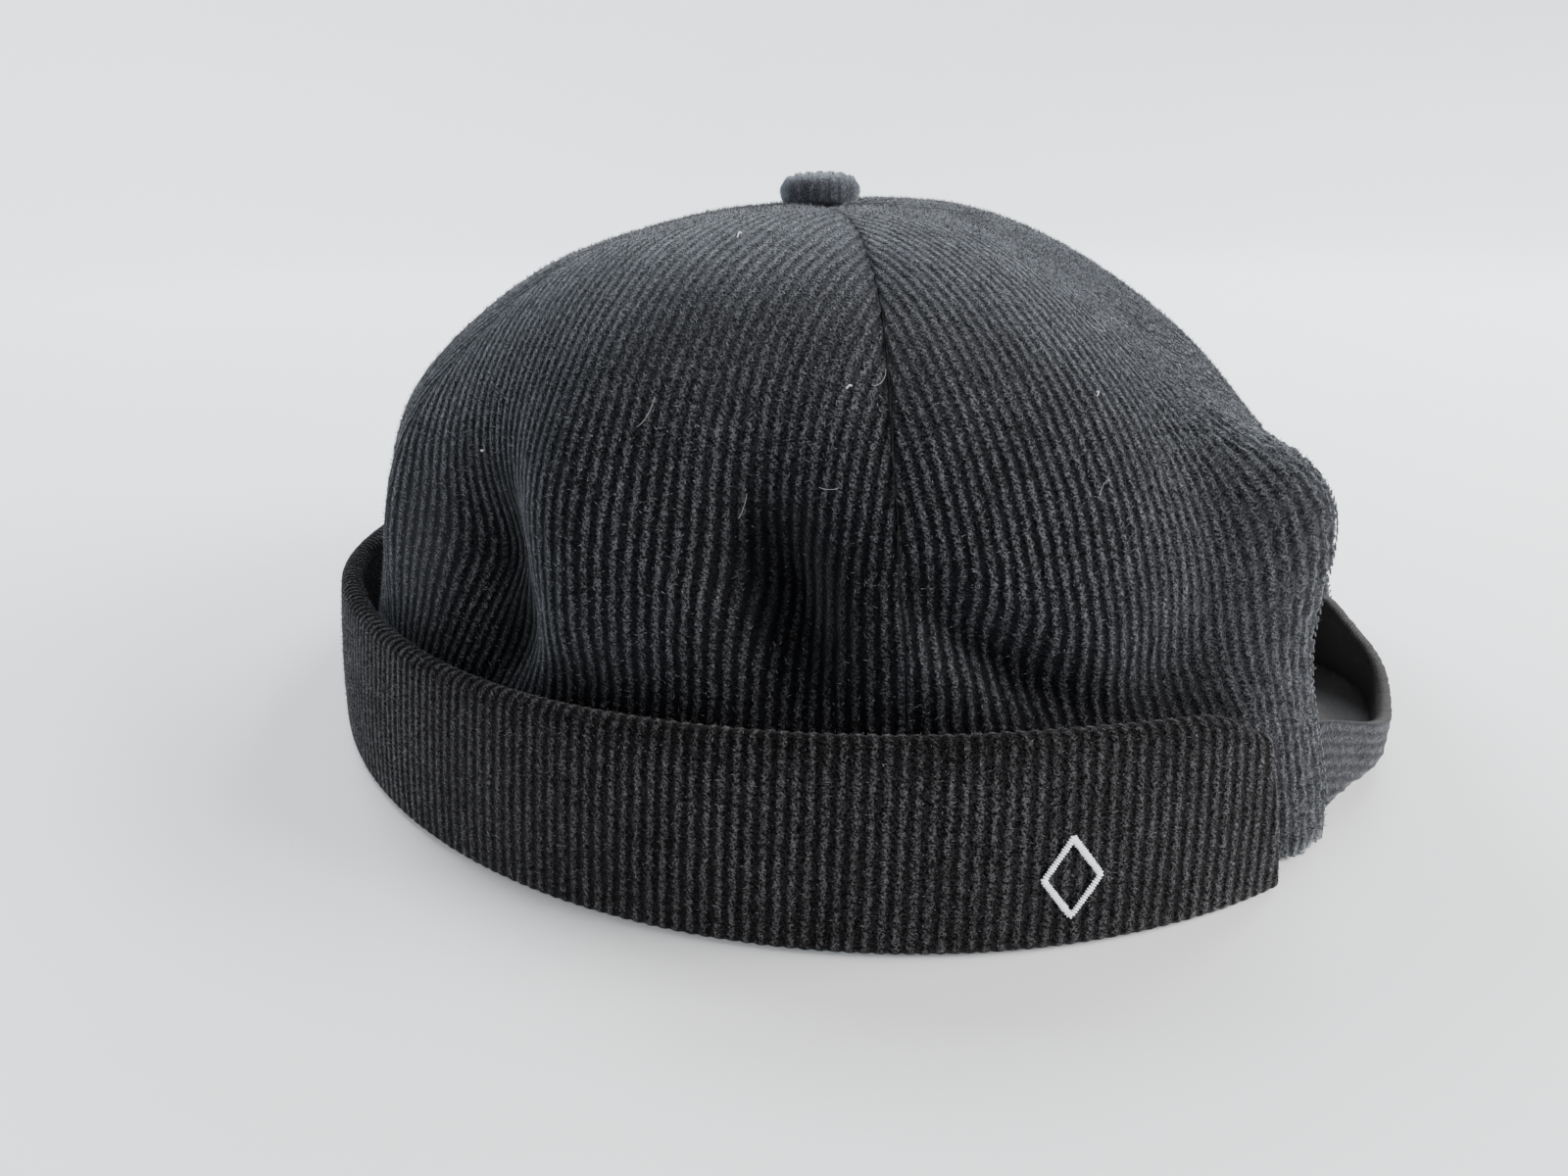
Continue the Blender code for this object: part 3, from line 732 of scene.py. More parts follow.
def fibre_surface(name):
    """Single fibres, some much paler than others."""
    material, graph, shader, place = new_material(name)
    pale = graph.above(graph.noise(place, 0.5 * MILLIMETRE, detail=1.0), 0.40, 4.0)
    colour = graph.mix(pale, FIBRE_DARK, FIBRE_PALE)
    graph.feed_all(shader, {"Base Color": colour, "Roughness": 1.0, "Specular IOR Level": 0.1})
    return material


def spun_thread(name, colour):
    """One colour, matt, with the slight mottling of spun thread."""
    material, graph, shader, place = new_material(name)
    roughness = 0.95 - 0.2 * graph.noise(place, 0.25 * MILLIMETRE)
    graph.feed_all(shader, {"Base Color": colour, "Roughness": roughness, "Sheen Weight": 0.2})
    return material


CROWN_PILE = corduroy("crown_pile", CROWN_CLOTH)
CUFF_PILE = corduroy("cuff_pile", CUFF_CLOTH)
STRAP_PILE = corduroy("strap_pile", STRAP_CLOTH)
BUTTON_PILE = corduroy("button_pile", BUTTON_CLOTH)
CLOTH_BACK = twill_back("twill_back")
LOOSE_FIBRE = fibre_surface("pile_fibre")
BLACK_THREAD = spun_thread("black_thread", (0.060, 0.060, 0.064, 1))
WHITE_THREAD = spun_thread("white_thread", (0.92, 0.93, 0.95, 1))
LINT_FLUFF = spun_thread("lint_fluff", (0.50, 0.50, 0.49, 1))
print("finishes:", [material.name for material in bpy.data.materials if material.users == 0])

# %% [markdown]
# ## Raising the wales
#
# Modelled wales, and not only a bump, are what gives the outline of the cap its fine scallops. One tree of
# Geometry Nodes raises them on any piece. It reads how far a point lies across the wales, turns that into
# a rounded ridge with a groove beside it, and moves the point along its normal. Noise wears the pile down
# a little here and there. On a ragged part of the cloth, more noise lifts and sinks it in small knots. The
# height on the wale is stored for the finish to read.

# %% The wale tree
WALE_HEIGHT = 0.00040
WALE_MEAN = 0.80
WANDER_SPOT = 2.6 * MILLIMETRE
WEAR_SPOTS = (3.5 * MILLIMETRE, 0.8 * MILLIMETRE)
KNOT_SPOT = 1.1 * MILLIMETRE
WANDER = 0.35
RAGGEDNESS = 0.0020
UNEVENNESS = 0.7


def wale_tree():
    """Raises wales across a mesh that has the layers across and pile, and knots where it has ragged."""
    sizes = {
        "Wale Pitch": "Float",
        "Wale Height": "Float",
        "Roundness": "Float",
        "Unevenness": "Float",
        "Wander": "Float",
        "Raggedness": "Float",
        "Outside": "Material",
        "Inside": "Material",
    }
    graph, given = geometry_tree("corduroy_wales", sizes)
    place = graph.node("GeometryNodeInputPosition").outputs[0]
    wander = (graph.noise(place, WANDER_SPOT) - 0.5) * given["Wander"]
    share = graph.sum("FRACT", graph.stored("across") / given["Wale Pitch"] + wander)
    ridge = graph.sum("SINE", share * math.pi) ** given["Roundness"]
    wear_and_painted_light = 0.4 * graph.noise(place, WEAR_SPOTS[0]) + 0.6 * graph.noise(place, WEAR_SPOTS[1])
    tall = ridge * (1.0 - wear_and_painted_light * given["Unevenness"])
    knots = (graph.noise(place, KNOT_SPOT) - 0.5) * (graph.stored("ragged") * given["Raggedness"])
    pile = graph.stored("pile")
    lift = ((tall - WALE_MEAN) * given["Wale Height"] + knots) * pile
    normal = graph.node("GeometryNodeInputNormal").outputs[0]
    offset = graph.node("ShaderNodeVectorMath", {"operation": "SCALE"}, {0: normal, "Scale": lift})
    sockets = {0: given["Geometry"], "Offset": offset.outputs[0]}
    raised = graph.node("GeometryNodeSetPosition", sockets=sockets)
    marked = graph.node(
        "GeometryNodeStoreNamedAttribute",
        {"data_type": "FLOAT", "domain": "POINT"},
        {0: raised.outputs[0], "Name": "ridge", "Value": ridge * pile},
    )
    real = graph.node("GeometryNodeRealizeInstances", sockets={0: marked.outputs[0]})
    lined = graph.node("GeometryNodeSetMaterial", sockets={0: real.outputs[0], "Material": given["Inside"]})
    outside = graph.stored("outside", "BOOLEAN")
    sockets = {0: lined.outputs[0], "Selection": outside, "Material": given["Outside"]}
    faced = graph.node("GeometryNodeSetMaterial", sockets=sockets)
    graph.node("NodeGroupOutput", sockets={0: faced.outputs[0]})
    return graph.tree


WALES = wale_tree()


def raise_wales(piece, outside, inside, height=WALE_HEIGHT, unevenness=UNEVENNESS):
    """Gives a piece of cloth its wales and its two finishes."""
    values = {
        "Wale Pitch": WALE_PITCH,
        "Wale Height": height,
        "Roundness": 1.0,
        "Unevenness": unevenness,
        "Wander": WANDER,
        "Raggedness": RAGGEDNESS,
        "Outside": outside,
        "Inside": inside,
    }
    grow(piece, WALES, values)


def triangles(piece):
    """How many triangles a piece has."""
    piece.data.calc_loop_triangles()
    return len(piece.data.loop_triangles)


# %% [markdown]
# ## The six gores of the crown
#
# Each gore runs from its edge in the cuff up to the button. Near the top its wales are parallel to its own
# middle line, so on the two sides of a seam they meet like the bars of an arrowhead. Lower down, where the
# crown stands upright, they follow the sides of the gore. The two gores at the back are cut by the arched
# opening. Their rows lie closer together, and extra rows follow the curve of the arch, because the pile
# beside it is knotted. The layers also carry painted shade where the cloth is in the shade of a fold or
# the cuff, a thin dark line along each seam, a painted highlight along the edge of the opening, and a few
# patches of painted light and painted shade on the crown.

# %% Gores
ROW_STEP = 0.0014
BACK_ROW_STEP = 0.0008
LEAST_CLIMB_STEP = 0.0006
ACROSS_SAMPLES = 420
UP_SAMPLES = 1200
ARCH_TOP_DEGREES = 16.5
ARCH_TOP_ROWS = 30
SEAM_GAP = 0.00004
GUIDE_HEIGHT = 0.040
GUIDE_TOP = 0.085
GUIDE_SPAN = 0.040
GUIDE_SHARE = 0.9
Wave = namedtuple("Wave", "sway along across phase")
WAVES = (
    Wave(sway=0.00022, along=0.047, across=0.085, phase=0.0),
    Wave(sway=0.00008, along=0.0185, across=-0.031, phase=0.3),
)
PANEL_NAMES = ("back_left", "side_left", "front_left", "front_right", "side_right", "back_right")


def smooth_step(value):
    """0 up to 0, 1 from 1, and a soft rise between."""
    value = np.clip(value, 0.0, 1.0)
    return value * value * (3 - 2 * value)


def edge_height(azimuth):
    """Height of the crown's lower edge: on the cuff's web, and down to the ground beside the opening."""
    low, high = HEM_FOOT_AZIMUTHS
    share = (np.abs(angle_between(azimuth, 0.0)) - low) / (high - low)
    return HEM_FOOT_HEIGHT + (FOOT_HEIGHT - HEM_FOOT_HEIGHT) * np.clip(share, 0.0, 1.0)


def running_length(points):
    """Distance along each row of points, from its first one."""
    steps = np.linalg.norm(np.diff(points, axis=-2), axis=-1)
    return np.concatenate((np.zeros_like(steps[..., :1]), np.cumsum(steps, axis=-1)), axis=-1)


def even_climbs(azimuth, row_step):
    """Climbs of rows that lie the same distance apart up the middle of a gore."""
    foot = float(climb_at(SEAM_AZIMUTHS[1], FOOT_HEIGHT))
    top = math.pi / 2 - APEX_HOLE_RADIUS / CROWN_HALF_WIDTH
    climbs = np.linspace(foot, top, UP_SAMPLES)
    along = running_length(smooth_crown(azimuth, climbs))
    count = int(along[-1] / row_step)
    return np.interp(np.linspace(0, along[-1], count + 1), along, climbs)


def arch_climbs():
    """Climbs at which the arch's edge crosses evenly spaced azimuths, where it bends over to its top."""
    azimuths = np.radians(np.linspace(0.0, ARCH_TOP_DEGREES, ARCH_TOP_ROWS))
    low = np.zeros_like(azimuths)
    return bisect(low, low + math.pi / 2, lambda c: arch_level(smooth_crown(azimuths, c)) < 1)


def arch_azimuths(climbs):
    """Azimuth of the arch's edge in each row, 0 above the arch."""
    low = np.zeros_like(climbs)
    found = bisect(low, low + SEAM_AZIMUTHS[1], lambda a: arch_level(smooth_crown(a, climbs)) < 1)
    above = arch_level(smooth_crown(low, climbs)) >= 1
    return np.where(above, 0.0, found)


def waver(across, along):
    """How far the wales stray from a straight line."""
    total = 0.0
    for wave in WAVES:
        turns = along / wave.along + across / wave.across + wave.phase
        total = total + wave.sway * np.sin(2 * math.pi * turns)
    return total


def widths_across(fine, climbs, centre):
    """Distance across the wales of fine azimuths in each row, from the middle of the gore."""
    across = running_length(smooth_crown(fine[None, :], climbs[:, None]))
    middle = np.array([np.interp(centre, fine, row) for row in across])
    return across - middle[:, None]


def gore_grid(start, end, arch_side):
    """Azimuths and distances across the wales of a gore's grid, and the climb of each row."""
    centre = (start + end) / 2
    climbs = even_climbs(centre, BACK_ROW_STEP if arch_side else ROW_STEP)
    if arch_side:
        climbs = np.sort(np.concatenate((climbs, arch_climbs())))
        climbs = climbs[np.concatenate(((True,), np.diff(climbs) > LEAST_CLIMB_STEP))]
    fine = np.linspace(start, end, ACROSS_SAMPLES)
    heights = smooth_crown(centre, climbs)[:, 2]
    guided = GUIDE_SHARE * np.clip((GUIDE_TOP - heights) / GUIDE_SPAN, 0.0, 1.0)[:, None]
    guide = widths_across(fine, np.atleast_1d(climb_at(centre, GUIDE_HEIGHT)), centre)
    across = widths_across(fine, climbs, centre) * (1 - guided) + guide * guided
    half = WALE_SAMPLES * math.ceil(np.abs(across).max() / COLUMN_STEP / WALE_SAMPLES)
    columns = np.arange(-half, half + 1) * COLUMN_STEP
    edge = smooth_crown(start, climbs)
    reach = np.hypot(edge[:, 0], edge[:, 1] - CROWN_APEX_Y)
    gap = SEAM_GAP / 2 / reach
    first, last = start + gap, end - gap
    if arch_side == "start":
        first = np.maximum(first, start + arch_azimuths(climbs))
    elif arch_side == "end":
        last = np.minimum(last, end - arch_azimuths(climbs))
    azimuths = np.empty((len(climbs), len(columns)))
    distances = np.empty_like(azimuths)
    for row, climb in enumerate(climbs):
        strayed = columns + waver(columns, climb * CROWN_HEIGHT)
        found = np.interp(strayed, across[row], fine)
        azimuths[row] = np.clip(found, first[row], last[row])
        low, high = np.interp((first[row], last[row]), fine, across[row])
        distances[row] = np.clip(columns, low, high)
    return azimuths, distances, climbs


# %% What the finish has to know about a gore
FOLD_FULL_DEPTH = 0.010
HIDDEN_TURN = math.radians(2)
HIDDEN_TOP = 0.009
HIDDEN_SPAN = 0.006
HIDDEN_PILE_LOSS = 0.75
# Painted shade on the lower crown, where it meets the cuff.
CUFF_SHADE = 0.65
CUFF_SHADE_TOP = 0.041
CUFF_SHADE_SPAN = 0.012
SEAM_SHADE_HALF_WIDTH = 0.0007
MATTED_HEIGHT = 0.052
MATTED_SPAN = 0.034
MATTED_AZIMUTH = math.radians(46)
MATTED_TURN = math.radians(18)
HEM_MATTED = 0.7
RAGGED_SHARE = 0.20
RAGGED_AZIMUTH = math.radians(40)
RAGGED_TURN = math.radians(22)
RAGGED_TOP = 0.078
RAGGED_SPAN = 0.020
# Painted highlight: a pale line along the edge of the opening, and a paler band beside it.
HEM_HIGHLIGHT_WIDTH = 0.0007
HEM_GLOW_SPAN = 0.0090
HEM_GLOW_SHARE = 0.28
PATCH_LIGHT_PALENESS = 0.4
# Patches of painted shade (shade above 0) and painted light (shade below 0) on the crown.
LightPatch = namedtuple("LightPatch", "azimuth height shade half_turn half_height")
PAINTED_PATCHES = (
    LightPatch(azimuth=115, height=0.042, shade=-0.75, half_turn=8, half_height=0.018),
    LightPatch(azimuth=101, height=0.053, shade=0.95, half_turn=8, half_height=0.020),
    LightPatch(azimuth=86, height=0.046, shade=0.30, half_turn=8, half_height=0.014),
    LightPatch(azimuth=64, height=0.043, shade=0.40, half_turn=4, half_height=0.010),
    LightPatch(azimuth=92, height=0.077, shade=-0.30, half_turn=65, half_height=0.008),
)


def painted_light_and_shade(azimuth, height):
    """Painted shade in patches of the crown where it is above 0, and painted light where it is below 0."""
    total = np.zeros(azimuth.shape)
    for patch_spot in PAINTED_PATCHES:
        turn = angle_between(azimuth, math.radians(patch_spot.azimuth)) / math.radians(patch_spot.half_turn)
        total += patch_spot.shade * np.exp(-(turn**2) - ((height - patch_spot.height) / patch_spot.half_height) ** 2)
    return total


def hem_distance(point):
    """About how far a point of the crown lies from the edge of the arched opening."""
    across = np.abs(point[..., 0]) / ARCH_HALF_WIDTH
    up = np.maximum(point[..., 2], 0.0) / ARCH_HEIGHT
    level = arch_level(point)
    slope = np.hypot(
        (across / level) ** (ARCH_POWER - 1) / ARCH_HALF_WIDTH,
        (up / level) ** (ARCH_POWER - 1) / ARCH_HEIGHT,
    )
    return np.maximum(level - 1, 0.0) / slope


def gore_layers(azimuths, across, climbs, smooth, arch_side):
    """The layers of a gore: pile for the wales, ragged for the knots, and the rest for the finish."""
    height = smooth[..., 2]
    from_back = np.abs(angle_between(azimuths, 0.0))
    hidden = smooth_step((from_back - CUFF_END_AZIMUTH) / HIDDEN_TURN)
    # Painted shade, darker the deeper a fold pushes in; the patches add painted shade or painted light.
    shade = np.clip(fold_depth(azimuths, smooth) / FOLD_FULL_DEPTH, 0.0, 1.0)
    shade += painted_light_and_shade(azimuths, height)
    # Painted shade low on the crown beside and behind the cuff, and a thin dark line on each seam.
    shade_by_cuff = CUFF_SHADE * hidden * smooth_step((CUFF_SHADE_TOP - height) / CUFF_SHADE_SPAN)
    seam = seam_distance(azimuths, smooth) / SEAM_SHADE_HALF_WIDTH
    in_seam = np.exp(-(seam**2)) * smooth_step(from_back / BACK_SEAM_TURN)
    painted_shade = np.maximum(np.maximum(np.clip(shade, 0.0, 1.0), shade_by_cuff), in_seam)
    beside_opening = smooth_step((MATTED_AZIMUTH - from_back) / MATTED_TURN)
    matted = np.maximum(smooth_step((height - MATTED_HEIGHT) / MATTED_SPAN), HEM_MATTED * beside_opening)
    knotted = smooth_step((RAGGED_AZIMUTH - from_back) / RAGGED_TURN)
    knotted = knotted * smooth_step((RAGGED_TOP - height) / RAGGED_SPAN)
    # Painted light: paler tips where a patch has a shade below 0.
    wear_and_painted_light = PATCH_LIGHT_PALENESS * np.clip(-shade, 0.0, 1.0)
    if arch_side:
        distance = hem_distance(smooth)
        # Painted highlight along the edge of the arched opening.
        hem_glow = HEM_GLOW_SHARE * np.exp(-((distance / HEM_GLOW_SPAN) ** 2))
        wear_and_painted_light += np.exp(-((distance / HEM_HIGHLIGHT_WIDTH) ** 2)) + hem_glow
    return {
        "across": across + WALE_PITCH / 2,
        "along": np.broadcast_to(climbs[:, None] * CROWN_HEIGHT, azimuths.shape),
        "pile": 1 - HIDDEN_PILE_LOSS * hidden * smooth_step((HIDDEN_TOP - height) / HIDDEN_SPAN),
        "painted_shade": painted_shade,
        "wear_and_painted_light": wear_and_painted_light,
        "matted": matted,
        "ragged": RAGGED_SHARE + (1 - RAGGED_SHARE) * knotted,
    }


# %% Making the gores
HEM_ROUND = 0.0013
HEM_ROUND_SHARE = 0.8


def rounding(distance, radius, share):
    """How far an edge is rounded off at a distance from it, at most a share of the radius."""
    turn = np.clip(1 - distance / radius, 0.0, 1.0)
    return share * radius * (1 - np.sqrt(1 - turn**2))


def gore(index):
    """One gore of the crown, as a piece of corduroy that stands for its solid."""
    name = PANEL_NAMES[index]
    arch_side = {"back_left": "start", "back_right": "end"}.get(name)
    azimuths, across, climbs = gore_grid(SEAM_AZIMUTHS[index], SEAM_AZIMUTHS[index + 1], arch_side)
    climb_grid = np.broadcast_to(climbs[:, None], azimuths.shape)
    smooth = smooth_crown(azimuths, climb_grid)
    rounded = rounding(hem_distance(smooth), HEM_ROUND, HEM_ROUND_SHARE) if arch_side else 0.0
    outer = crown_cloth(azimuths, climb_grid, rounded)
    coarse = slice(None, None, WALE_SAMPLES)
    inner = crown_cloth(azimuths[:, coarse], climb_grid[:, coarse], CROWN_WALL)
    outer[0, :, 2] = edge_height(azimuths[0])
    inner[0, :, 2] = edge_height(azimuths[0, coarse])
    layers = gore_layers(azimuths, across, climbs, smooth, arch_side)
    mesh = closed_cloth(name, outer, inner, layers, flipped=True)
    piece = add_object("crown_gore_" + name, mesh)
    raise_wales(piece, CROWN_PILE, CLOTH_BACK)
    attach(piece, "root")
    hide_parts("crown_panel_" + name)
    print(piece.name, "has", triangles(piece), "triangles")
    return piece


gores = [gore(index) for index in range(len(PANEL_NAMES))]

# %% [markdown]
# ## The turned-up cuff
#
# The cuff is a band of doubled corduroy, turned up so that its pile faces out. Its top edge is a soft roll
# and its lower edge a fold. A section is swept round the oval. The stations of the sweep are spaced by
# distance, a sixth of a wale apart, and the wales lean a little all the way round, because nobody turns a
# cuff up quite straight. At its two ends the upper corners have rolled down a little.

# %% Cuff
CUFF_WEB_COLUMNS = 2
CUFF_CORNER_ROWS = 5
CUFF_WALL_ROWS = 16
CUFF_ROLL_ROWS = 9
CUFF_INNER_ROWS = 6
CUFF_INNER_PILE = 0.8
CUFF_END_ROUND = 0.0012
CUFF_END_ROUND_SHARE = 0.55
CUFF_END_PILE = 0.8
CUFF_END_DROP = 0.0040
CUFF_END_DROP_SPAN = 0.0050
CUFF_WALE_TURN = math.radians(0.7)
CUFF_MATTED = 0.45
CUFF_CRISPNESS = 0.30
CUFF_CRISP_AZIMUTH = math.radians(78)
CUFF_CRISP_TURN = math.radians(16)
CUFF_SETTLING_ROUNDS = 3
ROLL_SHADE = 0.5
ROLL_SHADE_START = 0.80
OVAL_SAMPLES = 6000


def cuff_height(azimuth):
    """Height of the cuff, a little lower where its edge dips and where its corners have rolled down."""
    height = np.full_like(azimuth, CUFF_HEIGHT)
    for dip in CUFF_DIPS:
        turn = angle_between(azimuth, math.radians(dip.azimuth)) / math.radians(dip.half_turn)
        height -= dip.depth * np.exp(-(turn**2))
    from_end = (math.pi - CUFF_END_AZIMUTH - np.abs(angle_between(azimuth, math.pi))) * CUFF_HALF_WIDTH
    return height - CUFF_END_DROP * np.exp(-((from_end / CUFF_END_DROP_SPAN) ** 2))


def cuff_lean(height):
    """How far the cuff's outer face has leaned in at a height."""
    return CUFF_LEAN * (height / CUFF_HEIGHT) ** CUFF_LEAN_POWER


def cuff_section(total):
    """Distances in from the outer oval, heights and pile of the cuff's cut, for an array of cuff heights."""
    flat = np.ones_like(total)
    corner = CUFF_CORNER_RADIUS
    roll_height = total - CUFF_ROLL_RADIUS
    cut = []
    for inset in np.linspace(CUFF_WEB_WIDTH, corner, CUFF_WEB_COLUMNS + 1)[:-1]:
        cut.append((inset * flat, 0 * flat, 0.0))
    for turn in np.linspace(0, math.pi / 2, CUFF_CORNER_ROWS):
        sine, cosine = math.sin(turn), math.cos(turn)
        cut.append((corner * (1 - sine) * flat, corner * (1 - cosine) * flat, sine))
    for share in np.linspace(0, 1, CUFF_WALL_ROWS)[1:-1]:
        height = corner + (roll_height - corner) * share
        cut.append((cuff_lean(height), height, 1.0))
    roll_centre = cuff_lean(roll_height) + CUFF_ROLL_RADIUS
    for turn in np.linspace(0, math.pi, CUFF_ROLL_ROWS):
        across = roll_centre - CUFF_ROLL_RADIUS * math.cos(turn)
        cut.append((across, roll_height + CUFF_ROLL_RADIUS * math.sin(turn), 1.0))
    for share in np.linspace(1, 0, CUFF_INNER_ROWS)[1:-1]:
        height = CUFF_WEB_THICKNESS + (roll_height - CUFF_WEB_THICKNESS) * share
        cut.append((cuff_lean(height) + CUFF_WALL, height, CUFF_INNER_PILE * share))
    cut.append((CUFF_WALL * flat, CUFF_WEB_THICKNESS * flat, 0.0))
    cut.append((CUFF_WEB_WIDTH * flat, CUFF_WEB_THICKNESS * flat, 0.0))
    insets, heights, piles = zip(*cut)
    return np.stack(insets), np.stack(heights), np.array(piles)


def even_azimuths(start, end, radius_at, step):
    """Azimuths whose points on an oval lie one step apart, and their distances along it."""
    fine = np.linspace(start, end, OVAL_SAMPLES)
    along = running_length(radius_at(fine)[:, None] * np.stack((np.sin(fine), np.cos(fine)), axis=-1))
    count = int(round(along[-1] / step))
    places = np.linspace(0, along[-1], count + 1)
    return np.interp(places, along, fine), places


def ring_mesh(name, rings, layers):
    """Mesh of a closed section swept through stations: rings is stations by points by three."""
    stations, size = rings.shape[:2]
    faces = []
    for i in range(size):
        j = (i + 1) % size
        a = np.arange(stations - 1) * size
        faces += np.stack((a + i, a + j, a + size + j, a + size + i), axis=-1).tolist()
    outside_count = len(faces)
    faces.append(list(reversed(range(size))))
    faces.append([(stations - 1) * size + i for i in range(size)])
    mesh = cloth_mesh(name, rings.reshape(-1, 3), faces, layers, outside_count)
    weld(mesh)
    return mesh


def cuff_feet(wanted, rise):
    """Azimuth at the foot of the line up the cuff that passes a wanted azimuth at a share of its height."""
    half = math.pi - CUFF_END_AZIMUTH
    slant = CUFF_END_SLANT * rise
    feet = (wanted - slant * (1 + CUFF_END_AZIMUTH / half)) / (1 - slant / half)
    return np.clip(feet, CUFF_END_AZIMUTH, 2 * math.pi - CUFF_END_AZIMUTH)


def cuff():
    """The whole cuff, which stands for its solid."""
    last_azimuth = 2 * math.pi - CUFF_END_AZIMUTH
    wales, places = even_azimuths(CUFF_END_AZIMUTH, last_azimuth, cuff_radius, COLUMN_STEP)
    insets, heights, piles = cuff_section(cuff_height(wales))
    for _ in range(CUFF_SETTLING_ROUNDS):  # a wale leans, so it is as high as the edge where it arrives
        rise = heights / CUFF_HEIGHT
        feet = cuff_feet(wales - CUFF_WALE_TURN * rise, rise)
        cuts = [cuff_section(total) for total in cuff_height(feet)]
        insets = np.stack([cut[0][row] for row, cut in enumerate(cuts)])
        heights = np.stack([cut[1][row] for row, cut in enumerate(cuts)])
    rise = heights / CUFF_HEIGHT
    share = (feet - CUFF_END_AZIMUTH) / (last_azimuth - CUFF_END_AZIMUTH)
    azimuths = feet + CUFF_END_SLANT * (1 - 2 * share) * rise
    along, up = np.gradient(insets, axis=0), np.gradient(heights, axis=0)
    length = np.hypot(along, up) + 1e-12
    from_end = np.minimum(feet - CUFF_END_AZIMUTH, last_azimuth - feet) * cuff_radius(feet)
    rounded = rounding(from_end, CUFF_END_ROUND, CUFF_END_ROUND_SHARE)
    insets = insets + up / length * rounded
    heights = np.maximum(heights - along / length * rounded, 0.0)
    radius = cuff_radius(azimuths) - insets
    rings = np.stack((np.sin(azimuths) * radius, np.cos(azimuths) * radius, heights), axis=-1)
    girth = running_length(np.stack((insets[:, 0], heights[:, 0]), axis=-1))
    at_end = CUFF_END_PILE + (1 - CUFF_END_PILE) * smooth_step(from_end / CUFF_END_ROUND)
    high = heights / cuff_height(feet)
    crisp = np.exp(-((angle_between(azimuths, CUFF_CRISP_AZIMUTH) / CUFF_CRISP_TURN) ** 2))
    layers = {
        "across": np.interp(azimuths + CUFF_WALE_TURN * rise, wales, places),
        "along": np.broadcast_to(girth[:, None], azimuths.shape),
        "pile": piles[:, None] * at_end,
        # Painted shade on the cuff's top roll.
        "painted_shade": ROLL_SHADE * smooth_step((high - ROLL_SHADE_START) / (1 - ROLL_SHADE_START)),
        "matted": CUFF_MATTED - CUFF_CRISPNESS * crisp,
    }
    layers = {layer: values.T for layer, values in layers.items()}
    piece = add_object("corduroy_cuff", ring_mesh("turned_up_cuff", rings.transpose(1, 0, 2), layers))
    raise_wales(piece, CUFF_PILE, CUFF_PILE)
    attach(piece, "root")
    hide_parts("turned_up_cuff")
    print(piece.name, "has", triangles(piece), "triangles and", int(places[-1] / WALE_PITCH), "wales")
    return piece


cuff_piece = cuff()

# %% [markdown]
# ## The strap at the back
#
# The strap is cut along the cloth, so its wales lie along it. Its upper part stands upright and its lower
# part has folded under in the middle. The inside shows the smooth back of the cloth. Columns run across the
# wales here as well, so the same grid and the same tree of nodes serve.

# %% Strap
STRAP_STATIONS = 150
STRAP_SEAT_TURN = math.radians(10)
STRAP_SEWN_AZIMUTH = math.radians(19.5)
STRAP_SEWN_TURN = math.radians(1.0)
STRAP_EDGE_SPAN = 0.001
STRAP_LEAST_PILE = 0.2
STRAP_WALE_HEIGHT = 0.00030
STRAP_MATTED = 0.7
STRAP_RAGGED = 0.3
# How the painted light on the strap's inner face follows how far the face turns up.
STRAP_TOP_LIGHT_LEVEL = 1.1
STRAP_TOP_LIGHT_LOSS = 1.2


def strap_seat(azimuth):
    """Radius and lean of the inside of the crown's hem, where the strap's ends are sewn."""
    top_height = ARCH_HEIGHT * math.sin(STRAP_SEAT_TURN) ** (2 / ARCH_POWER)
    seats = [crown_cloth(azimuth, climb_at(azimuth, z), CROWN_WALL) for z in (FOOT_HEIGHT, top_height)]
    foot_radius, top_radius = (np.hypot(seat[..., 0], seat[..., 1]) for seat in seats)
    lean = np.arctan2(foot_radius - top_radius, top_height - FOOT_HEIGHT / 2)
    return (foot_radius + top_radius) / 2 - STRAP_SEAT_GAP, lean


def strap_lines(azimuth, offsets):
    """Radius, height and way down of the strap's outer face, stations by offsets."""
    share = np.minimum(np.abs(azimuth) / STRAP_FREE_AZIMUTH, 1.0)
    ease = ((1 - share**2) ** STRAP_EASE_POWER)[:, None]
    seat_radius, seat_lean = strap_seat(azimuth)
    total = STRAP_HEIGHT + STRAP_OVERLAP * ease**STRAP_OVERLAP_POWER
    down = np.minimum(offsets[None, :], total)
    ended = STRAP_HEIGHT + STRAP_FOLD_LENGTH / 2
    fold = ended - (ended - STRAP_UPRIGHT_HEIGHT) * ease**STRAP_FOLD_POWER
    middle = (down[:, 1:] + down[:, :-1]) / 2
    turned = np.clip((middle - fold) / STRAP_FOLD_LENGTH + 0.5, 0.0, 1.0)
    direction = STRAP_TUCK_ANGLE * turned**2 * (3 - 2 * turned) - (1 - ease) * seat_lean[:, None]
    step = np.diff(down, axis=1)
    zero = np.zeros((len(azimuth), 1))
    radius = np.concatenate((zero, np.cumsum(-step * np.sin(direction), axis=1)), axis=1)
    height = np.concatenate((zero, np.cumsum(-step * np.cos(direction), axis=1)), axis=1)
    halfway = np.array([np.interp(t / 2, d, r) for t, d, r in zip(total[:, 0], down, radius)])
    free = STRAP_REACH - strap_seat(np.zeros(1))[0]
    radius += seat_radius[:, None] + ease * free - (1 - ease) * halfway[:, None]
    height += STRAP_FOOT - height.min(axis=1, keepdims=True)
    return radius, height, down


